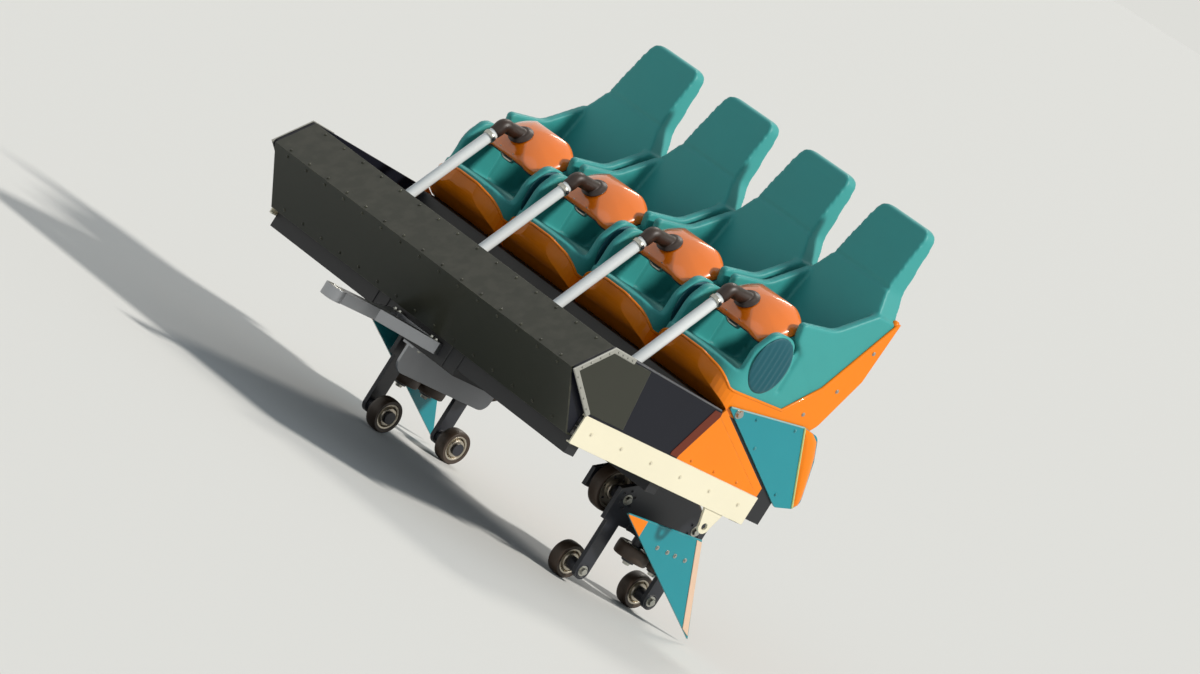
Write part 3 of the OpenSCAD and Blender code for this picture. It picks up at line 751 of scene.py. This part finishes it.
loopForm = {"place": (0.497, 1.512), "half": 0.05, "drop": 0.06, "radius": 0.009,
            "way": (-0.62, 0, -0.78),
            "line": [(0, 1), (0.4, 1), (0.72, 0.93), (0.94, 0.72), (1, 0.4)]}


def padOutline(perCorner=13):
    a, b, r = padForm["length"] / 2, padForm["width"] / 2, padForm["fillet"]
    points = []
    for k, middle in enumerate([(a - r, b - r), (r - a, b - r), (r - a, r - b), (a - r, r - b)]):
        points += arc(middle, r, 90 * k, 90 * k + 90, perCorner)
    return points


def domeMesh(i, profile, channelDepth):
    tilt = radians(padForm["tilt"])
    along = Vector((sin(tilt), 0, -cos(tilt)))
    outward = Vector((cos(tilt), 0, sin(tilt)))
    middle = domeMiddle(i)
    bm = bmesh.new()

    def at(a, b, depth):
        channel = sum(exp(-((b - s * padForm["channel"]) / padForm["channelWidth"]) ** 2)
                      for s in (1, -1))
        cut = channelDepth * channel * (depth > padForm["channelFrom"])
        rise = sqrt((padForm["dome"] - depth + cut) ** 2 - a * a - b * b)
        return bm.verts.new(middle + along * a + Vector((0, b, 0)) + outward * rise)

    outline = padOutline()
    rings = [[at(a * share, b * share, depth) for a, b in outline]
             for share, depth in profile[1:-1]]
    bridge(bm, rings)
    fan(bm, rings[0], at(0, 0, profile[0][1]))
    fan(bm, rings[-1], at(0, 0, profile[-1][1]))
    return meshFrom(bm, 50)


def domeMiddle(i):
    return place(padForm["domeMiddle"][0], seatY(i), padForm["domeMiddle"][1])


def sleeveMesh(bend, up):
    # sleeve over the bent neck, from the arm into the pad
    start, before = bend - up * armForm["sleeveStart"], bend - up * armForm["curve"][0]
    after = bend - Vector((armForm["curve"][1], 0, 0))
    corner = bend * 2 - (before + after) / 2  # so that the curve's middle is the bend itself
    path = [start, start + up * 0.004]
    for t in [k / 8 for k in range(9)]:
        path.append(before * (1 - t) ** 2 + corner * 2 * t * (1 - t) + after * t**2)
    path += [bend - Vector((x, 0, 0)) for x in armForm["sleeveEnd"]]
    r = armForm["sleeve"]
    return tubeMesh(path, [r - 0.002, r] + [r + 0.001] * 10 + [r + 0.002] * 2, 24)


def bootMesh(i, bend):
    # boot where the sleeve goes into the dome
    dome, radius = domeMiddle(i), padForm["dome"]
    rise = bend.z - dome.z
    normal = Vector((sqrt(radius**2 - rise**2), 0, rise)) / radius
    return latheMesh(armForm["boot"], dome + normal * (radius - 0.001), normal, 40)


def makeRestraint(i):
    body = f"restraint_{i}"
    lean = radians(armForm["lean"])
    up = Vector((-sin(lean), 0, cos(lean)))
    foot = place(armForm["foot"][0], seatY(i), armForm["foot"][1])
    bend = foot + up * armForm["length"]
    mesh = domeMesh(i, padForm["shell"], 0)
    pad = addPiece(f"lapPad{i}", mesh, "padGloss", body)
    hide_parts(f"restraint_pad_{i}")
    mesh = domeMesh(i, padForm["foam"], padForm["channelDepth"])
    addPiece(f"lapFoam{i}", mesh, "darkFoam", body)
    # the sleeve and boot are dark brown, partly painted shade where the neck lies under the pad
    neck = [sleeveMesh(bend, up), bootMesh(i, bend)]
    addPiece(f"neckSleeve{i}", neck, "shadeDarkRubber", body)
    # grab loop under the pad's front edge
    low = place(loopForm["place"][0], seatY(i), loopForm["place"][1])
    way = Vector(loopForm["way"]) * loopForm["drop"]
    loop = [low + Vector((0, loopForm["half"] * c, 0)) + way * d
            for d, c in mirrored(loopForm["line"])]
    mesh = tubeMesh(loop, loopForm["radius"], 12)
    addPiece(f"grabLoop{i}", mesh, "zincBolt", body)
    # split clamp round the arm under the sleeve, and the ring at its foot
    rings = []
    inner, outer = armForm["radius"] - 0.001, armForm["collar"]
    for distance, length in armForm["collars"]:
        profile = mirrored([(inner, -length / 2), (outer - 0.0015, -length / 2),
                            (outer, -length / 2 + 0.002)])
        rings.append(latheMesh(profile, foot + up * distance, up, 36))
    addPiece(f"armCollars{i}", rings, "zincBolt", body)
    clamp = foot + up * armForm["collars"][0][0]
    spots = [(clamp + Vector((0, s * armForm["clampBolt"], 0)), (0, s, 0)) for s in (1, -1)]
    addBolts(f"clampBolts{i}", body, spots, kind="clampBolts")


for i in seats:
    makeRestraint(i)
makeRims()
makeTubScrews()
print("restraints made")

# Trim of the sides: outline, distance from the body's side, thickness or radius, finish, slot
trimPlates = {
    # an olive plate on the black panel's front corner: painted light, standing for a facet bent
    # inward that catches the light differently
    "litCornerFacet": ([(1.33, 0.012), (1.562, 0.17), (1.41, 0.322), (1.13, 0.313), (1.08, 0.012)],
                    0.0195, 0.003, "olivePanel", "nose_olive"),
    # a dark orange band along the fender's front slope: painted shade where that slope turns away
    # from the light
    "fenderShadeBand": ([(0.652, 0.006), (0.65, 0.02), (0.545, 0.268), (0.548, 0.286), (0.6, 0.286),
                    (0.708, 0.02), (0.706, 0.006)], 0.0195, 0.003, "shadeOrange", "orange_gloss"),
    # the fender's tail over the bench's end, up to a narrow gap at the fin
    "fenderTail": ([(0, 0.0005), (0.5398, 0.2704), (0.5208, 0.3084), (0, 0.048)],
                   0.0005, 0.0093, "orangeGloss", "orange_gloss"),
    "noseEnd": ([(1.35, -0.118), (1.378, -0.118), (1.583, 0.168), (1.565, 0.168), (1.35, 0.0)],
                -0.009, 0.006, "blackPanel", "panel_black"),
}
trimBeads = {
    "topEdge": ([(1.255, 0.327), (0.56, 0.296)], 0.018, 0.005, "darkEdging", "panel_black"),
    # the pale teal bead along the fin's top edge is a painted highlight where the edge catches the
    # light
    "finEdgeHighlight": ([(0.5, 0.33), (-0.028, 0.3965)], 0.008, 0.0045, "highlightTeal", "teal_panel"),
    # the yellow-green bead along the fin's fold is a painted highlight where the bent edge catches
    # the light
    "finFoldHighlight": ([(-0.03, 0.397), (-0.1, 0.286), (-0.18, 0.159), (-0.264, 0.026)],
                0.011, 0.0055, "foldHighlightPaint", "teal_panel"),
}
# places, and distance from the body's side
trimBolts = {
    "sillBolts": ([(0.1 + k * 0.23, -0.07) for k in range(6)], 0.023),
    "finLatch": ([(0.43, 0.318)], 0.01),
    "finScrews": ([(-0.11, 0.05), (0.2, 0.205), (0.3, 0.33), (0.02, 0.365)], 0.01),
    "fenderScrews": ([(0.18, 0.02), (0.36, 0.02), (0.54, 0.02)], 0.01),
}
edging = {"line": [(1.342, 0.004), (1.575, 0.17), (1.418, 0.329), (1.26, 0.322)], "half": 0.014,
          "thick": 0.006, "out": 0.02, "rivets": (0.15, 0.38, 0.62, 0.85)}
finStrip = {
    "foldTop": (-0.03, 0.397),
    "foldTip": (-0.264, 0.026),
    "rear": [(-0.03, 0.397), (-0.105, 0.39), (-0.16, 0.362), (-0.205, 0.295), (-0.236, 0.225),
             (-0.266, 0.15), (-0.29, 0.083), (-0.292, 0.048), (-0.264, 0.026)],
    "out": 0.0095,
    "step": 0.003,
    "bulge": 0.011,
    "across": 7,
}


def finStripMesh(sign):
    # bulging strip between the fin's fold and its rear edge
    bm = bmesh.new()
    count, across = len(finStrip["rear"]), finStrip["across"]
    top, tip = Vector(finStrip["foldTop"]), Vector(finStrip["foldTip"])
    rows = []
    for k, rear in enumerate(finStrip["rear"]):
        t = k / (count - 1)
        fold = top + (tip - top) * t
        row = []
        for j in range(across):
            u = j / (across - 1)
            swell = sin(pi * u) ** 0.7 * sin(pi * t) ** 0.5
            out = finStrip["out"] + finStrip["step"] * (0 < u < 1) + finStrip["bulge"] * swell
            spot = fold + (Vector(rear) - fold) * u
            row.append(bm.verts.new(onSide(sign, [spot], car["bodyHalf"] + out)[0]))
        rows.append(row)
    bridge(bm, rows, around=False)
    bmesh.ops.remove_doubles(bm, verts=bm.verts, dist=1e-5)
    bmesh.ops.dissolve_degenerate(bm, edges=bm.edges, dist=1e-6)
    bmesh.ops.holes_fill(bm, edges=[e for e in bm.edges if e.is_boundary], sides=0)
    return meshFrom(bm, 45)


def makeEdging(side, sign):
    h, thick, y = edging["half"], edging["thick"], car["bodyHalf"] + edging["out"]
    section = [(-h, 0), (h, 0), (h, thick / 2), (h - 0.004, thick), (0.004 - h, thick),
               (-h, thick / 2)]
    mesh = sweepMesh(onSide(sign, edging["line"], y), section, (0, sign, 0))
    addPiece(f"panelEdging.{side}", mesh, "greyEdging", "car")
    line = [Vector(p) for p in edging["line"]]
    rivets = [a + (b - a) * t for a, b in zip(line, line[1:]) for t in edging["rivets"]]
    addBolts(f"edgingRivets.{side}", "car", onSide(sign, rivets, y + 0.005), (0, sign, 0))


def makeTrim(side, sign):
    half = car["bodyHalf"]
    for name, (outline, out, thick, finish, slot) in trimPlates.items():
        mesh = plateMesh(onSide(sign, outline, half + out), thick, (0, sign, 0))
        addPiece(f"{name}.{side}", mesh, finish, "car")
    for name, (line, out, radius, finish, slot) in trimBeads.items():
        mesh = tubeMesh(onSide(sign, line, half + out), radius, 8)
        addPiece(f"{name}.{side}", mesh, finish, "car")
    for name, (places, out) in trimBolts.items():
        addBolts(f"{name}.{side}", "car", onSide(sign, places, half + out), (0, sign, 0))
    addPiece(f"finStrip.{side}", finStripMesh(sign), "orangeGloss", "car")


# Bogies' fairings
fairing = {
    "front": (0.55, 0.46),
    "top": (-0.01, 0.49),
    "tip": (-0.31, 0.03),
    "face": 1.055,
    "plate": 0.0035,
    "strip": 0.0368,
    "bead": 0.0065,
    "bolts": [(0.02, 0.3725), (0.1, 0.3725), (0.16, 0.3725), (0.24, 0.3725)],
}


def makeFairing(side, sign):
    body, out, face = f"bogie_{side}", (0, sign, 0), fairing["face"]
    front, top, tip = (Vector(fairing[k]) for k in ("front", "top", "tip"))
    down, fore = (tip - top).normalized(), (front - top).normalized()
    slant = (front - tip).normalized()
    strip = [top + down * 0.004, tip - down * 0.012 + slant * 0.01, tip + slant * 0.085,
             top + fore * fairing["strip"]]
    wedge = [front - fore * 0.004, front - fore * 0.15, front - slant * 0.17, front - slant * 0.01]
    for name, outline, finish in (("Strip", strip, "paleStrip"), ("Wedge", wedge, "orangeGloss")):
        mesh = plateMesh(onSide(sign, outline, face - 0.0005, 0), fairing["plate"], out)
        addPiece(f"fairing{name}.{side}", mesh, finish, body)
    addBolts(f"fairingBolts.{side}", body, onSide(sign, fairing["bolts"], face, 0), out)
    # turned edge along the top
    path = onSide(sign, [front - fore * 0.01, top], face - 0.005, 0)
    mesh = tubeMesh(path, fairing["bead"], 8)
    addPiece(f"fairingEdge.{side}", mesh, "tealPaint", body)


for side, sign in sides.items():
    makeEdging(side, sign)
    makeTrim(side, sign)
    makeFairing(side, sign)
print("trim made")

# Rivets along the nose's lower face and lip, and along the bench's rear: place, aim, kind
rivetRows = {
    "pitch": 0.155,
    "count": 15,
    "rows": [((1.401, 0.729), (0.81, 0, -0.586), "noseRivets"),
             ((1.5732, 0.9668), (0.81, 0, -0.586), "noseRivets"),
             ((1.577, 1.003), (0.707, 0, 0.707), "noseRivets"),
             ((1.435, 1.145), (0.707, 0, 0.707), "noseRivets"),
             ((-0.13, 0.722), (-1, 0, 0), "benchRivets"),
             ((-0.13, 0.806), (-1, 0, 0), "benchRivets")],
}


def makeRivetRows():
    count = rivetRows["count"]
    places = [(j - (count - 1) / 2) * rivetRows["pitch"] for j in range(count)]
    for k, ((x, z), aim, kind) in enumerate(rivetRows["rows"]):
        addBolts(f"rivetRow{k}", "car", [place(x, y, z) for y in places], aim, kind)


# Running gear, its heights over the floor and its distances from the middle
gear = {
    "plateOut": 0.877,
    "plateIn": 0.64,
    "loadZ": 0.49,
    "upstopZ": 0.09,
    "guideY": 0.932,
    "guideStep": 0.1,
    "guideUnder": 0.23,
    "shelfTop": 0.385,
    "crownUnder": 0.595,
    "capRing": 0.046,
    "footWeld": 0.036,
    "crownWeld": [(0.025, 0.625), (0.235, 0.625)],
    "crownInset": 0.025,
    "shelfWelds": [[(-0.033, 0.36), (0.293, 0.36)], [(-0.033, 0.385), (0.293, 0.385)]],
}


def weldMesh(path, radius=0.005, closed=False):
    return tubeMesh(path, radius, 6, closed)


def makeGear(side, sign):
    body = f"bogie_{side}"
    out, inward, up, down = (0, sign, 0), (0, -sign, 0), (0, 0, 1), (0, 0, -1)
    plateOut, guideY = gear["plateOut"], gear["guideY"]
    nuts, caps, welds = [], [], []
    for e in (1, -1):
        x = car["bogieX"] + e * car["wheelBase"] / 2
        gx = car["bogieX"] + e * gear["guideStep"]
        nuts += [(place(nx, sign * y, z), aim) for nx, y, z, aim in (
            (x, plateOut, gear["loadZ"], out), (x, gear["plateIn"], gear["loadZ"], inward),
            (x, plateOut, gear["upstopZ"], out), (gx, guideY, gear["guideUnder"], down),
            (gx, guideY, gear["shelfTop"], up))]
        ring = arc((x, gear["loadZ"]), gear["capRing"], 30, 330, 6)
        caps += onSide(sign, ring, plateOut, 0)
        ring = arc((x, gear["upstopZ"]), gear["footWeld"], 0, 330, 12)
        welds.append(weldMesh(onSide(sign, ring, plateOut, 0), 0.003, closed=True))
    addBolts(f"axleNuts.{side}", body, nuts)
    addBolts(f"capBolts.{side}", body, caps, out)
    crown = place(car["bogieX"], sign * car["railLine"], gear["crownUnder"])
    addBolts(f"kingNut.{side}", "car", [crown], down)
    for y in (gear["plateIn"] + gear["crownInset"], plateOut - gear["crownInset"]):
        welds.append(weldMesh(onSide(sign, gear["crownWeld"], y, 0)))
    welds += [weldMesh(onSide(sign, line, plateOut + 0.001, 0)) for line in gear["shelfWelds"]]
    addPiece(f"bogieWelds.{side}", welds, "steelPaint", body)


# Chassis: cross beams with their wings' undersides, welds and bolts
frameForm = {
    "cross": [(0.0, 0.665), (0.625, 0.616), (1.25, 0.616)],
    "crossWidth": 0.07,
    "inner": (0.255, 0.58),
    "outer": 0.345,
    "jawWelds": (0.6, 0.618, 0.662, 0.679),
    "jawHalf": (0.02, 0.054),
    # coupling holes: x, and height and way of each rim
    "bushes": [(1.935, 0.67, 1), (1.935, 0.61, -1), (-0.065, 0.692, 1), (-0.065, 0.588, -1)],
    "bush": [(0.0262, 0), (0.04, 0), (0.04, 0.0015), (0.038, 0.0025), (0.0275, 0.0025),
             (0.0262, 0.0015)],
    "blade": (0.66, 0.1, 7, 0.028, 0.568),  # first bolt, pitch, count, half width, height
    "drawbar": [(1.345, y, 0.67) for y in (-0.165, -0.13, 0.13, 0.165)],
    "beamEnd": [(0.065, 0.725), (0.065, 0.785), (0.195, 0.725), (0.195, 0.785)],
    "beamHalf": 0.83,
}
bracket = {"x": 1.12, "plate": 0.718, "bolt": 0.054, "hinge": 0.755, "hingeHalf": 0.049}
post = {"tube": (-0.2646, 1.77), "tubeRadius": 0.03, "rear": -0.235, "half": 0.018, "wire": 0.0045,
        "foot": -0.17, "footBolts": (0.735, 0.79)}


def makeFrameFittings():
    welds = []
    for x, wing in frameForm["cross"]:
        for end in (x, x + frameForm["crossWidth"]):
            for sign in (1, -1):
                for y, low in (frameForm["inner"], (frameForm["outer"], wing)):
                    line = [(end, low + 0.003), (end, car["frameTop"] - 0.003)]
                    welds.append(weldMesh(onSide(sign, line, y, 0)))
    for sign in (1, -1):
        for z in frameForm["jawWelds"]:
            welds.append(weldMesh([place(0, sign * y, z) for y in frameForm["jawHalf"]], 0.004))
    addPiece("frameWelds", welds, "framePaint", "car")
    x, pitch, count, half, z = frameForm["blade"]
    spots = [place(x + k * pitch, sign * half, z) for k in range(count) for sign in (1, -1)]
    addBolts("bladeBolts", "car", spots, (0, 0, -1))
    addBolts("drawbarBolts", "car", [place(*p) for p in frameForm["drawbar"]], (0, 0, 1))
    # worn bushes round the coupling holes
    lips = [latheMesh(frameForm["bush"], place(x, 0, z), (0, 0, way), 32)
            for x, z, way in frameForm["bushes"]]
    addPiece("couplingBushes", lips, "zincBolt", "car")
    spots = [(p, (0, sign, 0)) for sign in (1, -1)
             for p in onSide(sign, frameForm["beamEnd"], frameForm["beamHalf"], 0)]
    addBolts("beamEndBolts", "car", spots)


def makeSeatFittings():
    # bolts of the restraints' brackets, and the clamps that hold the cross tube on the posts
    x, step = bracket["x"], bracket["bolt"]
    feet, pins, clamps, posts = [], [], [], []
    line = arc(post["tube"], post["tubeRadius"], 60, 300, 14)
    line = [(post["rear"], line[0][1] + 0.001)] + line + [(post["rear"], line[-1][1] - 0.001)]
    for i in seats:
        y = seatY(i)
        for dx in (-step, step):
            feet += [place(x + dx, y + dy, bracket["plate"]) for dy in (-step, step)]
        for sign in (1, -1):
            pins.append((place(x, y + sign * bracket["hingeHalf"], bracket["hinge"]), (0, sign, 0)))
        for dy in (-post["half"], post["half"]):
            path = [place(px, y + dy, pz) for px, pz in line]
            clamps.append(tubeMesh(path, post["wire"], 8))
            posts += [place(post["foot"], y + dy, z) for z in post["footBolts"]]
    addBolts("footBolts", "car", feet, (0, 0, 1))
    addBolts("hingeNuts", "car", pins)
    addPiece("tubeClamps", clamps, "zincBolt", "car")
    addBolts("postBolts", "car", posts, (-1, 0, 0))


# Floor sheet's raised studs
tread = {"from": 0.7, "length": 0.62, "width": 2.33, "pitch": 0.04, "stud": (0.015, 0.0048, 0.0022),
         "above": 0.008}


def buildTreadTree():
    # studs turned one way and the other in turn
    tree, start = newTree("treadStuds", "GeometryNodeTree", {
        "Geometry": "Geometry", "Length": 0.6, "Width": 2.3, "Along": 16, "Across": 59,
        "Stud": "Vector", "Finish": "Material",
    }, {"Geometry": "Geometry"})
    grid = addNode(tree, "GeometryNodeMeshGrid", {
        "Size X": start["Length"], "Size Y": start["Width"], "Vertices X": start["Along"],
        "Vertices Y": start["Across"]})
    points = addNode(tree, "GeometryNodeMeshToPoints", {"Mesh": grid["Mesh"]})
    bead = addNode(tree, "GeometryNodeMeshUVSphere", {
        "Segments": 8, "Rings": 4, "Radius": 1.0})
    index = addNode(tree, "GeometryNodeInputIndex")["Index"]
    row = mathNode(tree, "DIVIDE", index, start["Across"])
    rowNumber = mathNode(tree, "FLOOR", row)
    both = mathNode(tree, "ADD", rowNumber, index)
    odd = mathNode(tree, "MODULO", both, 2.0)
    turned = mathNode(tree, "MULTIPLY_ADD", odd, pi / 2, pi / 4)
    angle = addNode(tree, "ShaderNodeCombineXYZ", {"Z": turned})
    others = {"Rotation": angle["Vector"], "Scale": start["Stud"]}
    putOnPoints(tree, points, bead["Mesh"], others, start["Finish"])
    return tree


def makeTread():
    seed = bpy.data.meshes.new("treadStuds")
    seed.from_pydata([(0, 0, 0)], [], [])
    piece = addPiece("treadStuds", seed, "floorSheet")
    grow(piece, buildTreadTree(), {
        "Length": tread["length"], "Width": tread["width"], "Stud": tread["stud"],
        "Along": round(tread["length"] / tread["pitch"]) + 1,
        "Across": round(tread["width"] / tread["pitch"]) + 1, "Finish": look["floorSheet"]})
    middle = place(tread["from"] + tread["length"] / 2, 0, car["frameTop"] + tread["above"])
    piece.data.transform(Matrix.Translation(middle))
    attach(piece, "car")


makeRivetRows()
for side, sign in sides.items():
    makeGear(side, sign)
makeFrameFittings()
makeSeatFittings()
makeTread()
print("running gear, frame and floor fitted")

# Stage, camera and light
stage = {
    "floor": "#d4d3cf",
    "floorHalf": 400.0,
    "backdrop": "#deded9",
    "right": (-0.594, 0.604, 0.532),  # the camera's own axes, turned as the photo is
    "back": (0.745, 0.667, 0.091),
    "lens": 200.0,
    "fill": 0.9,
    "picture": (1200, 674),
    "sky": (0.74, 0.87, 1.0, 1),
    "skyStrength": 0.32,
    # where from, strength, spread in degrees, colour
    "lamps": {
        "key": ((-0.28, 0.76, 0.7), 3.0, 6, (1.0, 0.97, 0.92)),
        "fill": ((0.9, 0.25, 0.5), 0.12, 40, (0.8, 0.9, 1.0)),
        "back": ((-0.46, -0.43, 0.78), 0.8, 16, (1.0, 0.95, 0.88)),
    },
}


def makeFloor():
    mesh = bpy.data.meshes.new("floor")
    s = stage["floorHalf"]
    mesh.from_pydata([(-s, -s, 0), (s, -s, 0), (s, s, 0), (-s, s, 0)], [], [(0, 1, 2, 3)])
    material = bpy.data.materials.new("floorPaint")
    material.use_nodes = True
    tree = material.node_tree
    feed(tree, tree.nodes["Principled BSDF"], {
        "Base Color": paint(stage["floor"]), "Roughness": 0.9})
    mesh.materials.append(material)
    addToScene("floor", mesh)


def makeCamera():
    right, back = Vector(stage["right"]).normalized(), Vector(stage["back"]).normalized()
    up = back.cross(right).normalized()
    right = up.cross(back).normalized()
    corners = [v.co for cadNode in cadNodes.values() for v in cadNode.data.vertices]
    center, size = Vector(), []
    for axis in (right, up, back):
        values = [p.dot(axis) for p in corners]
        center += axis * (min(values) + max(values)) / 2
        size.append(max(values) - min(values))
    wide, high = stage["picture"]
    frameWidth = max(size[0], size[1] * wide / high) / stage["fill"]
    camera = bpy.data.cameras.new("camera")
    camera.lens = stage["lens"]
    camera.clip_end = 1000
    holder = addToScene("camera", camera)
    turn = Matrix((right, up, back)).transposed().to_4x4()
    distance = frameWidth * camera.lens / camera.sensor_width
    holder.matrix_world = Matrix.Translation(center + back * distance) @ turn
    bpy.context.scene.camera = holder


def makeLight():
    for name, (source, strength, spread, color) in stage["lamps"].items():
        light = bpy.data.lights.new(name, "SUN")
        light.energy = strength
        light.angle = radians(spread)
        light.color = color
        lamp = addToScene(name, light)
        lamp.rotation_mode = "QUATERNION"
        lamp.rotation_quaternion = Vector(source).to_track_quat("Z", "Y")

    # a soft sky lights the car; the camera, metal and gloss see the pale backdrop
    world = bpy.data.worlds.new("studio")
    bpy.context.scene.world = world
    world.use_nodes = True
    tree = world.node_tree
    tree.nodes.clear()
    path = addNode(tree, "ShaderNodeLightPath")
    mirror = mathNode(tree, "MAXIMUM", path["Is Glossy Ray"], path["Is Transmission Ray"])
    seen = mathNode(tree, "MAXIMUM", path["Is Camera Ray"], mirror)
    sky = addNode(tree, "ShaderNodeBackground", {
        "Color": stage["sky"], "Strength": stage["skyStrength"]})
    pale = addNode(tree, "ShaderNodeBackground", {"Color": paint(stage["backdrop"])})
    mix = addNode(tree, "ShaderNodeMixShader", {
        "Fac": seen, 1: sky["Background"], 2: pale["Background"]})
    addNode(tree, "ShaderNodeOutputWorld", {"Surface": mix["Shader"]})


makeFloor()
makeCamera()
makeLight()
bpy.context.scene.view_settings.view_transform = "Standard"
print("stage made")
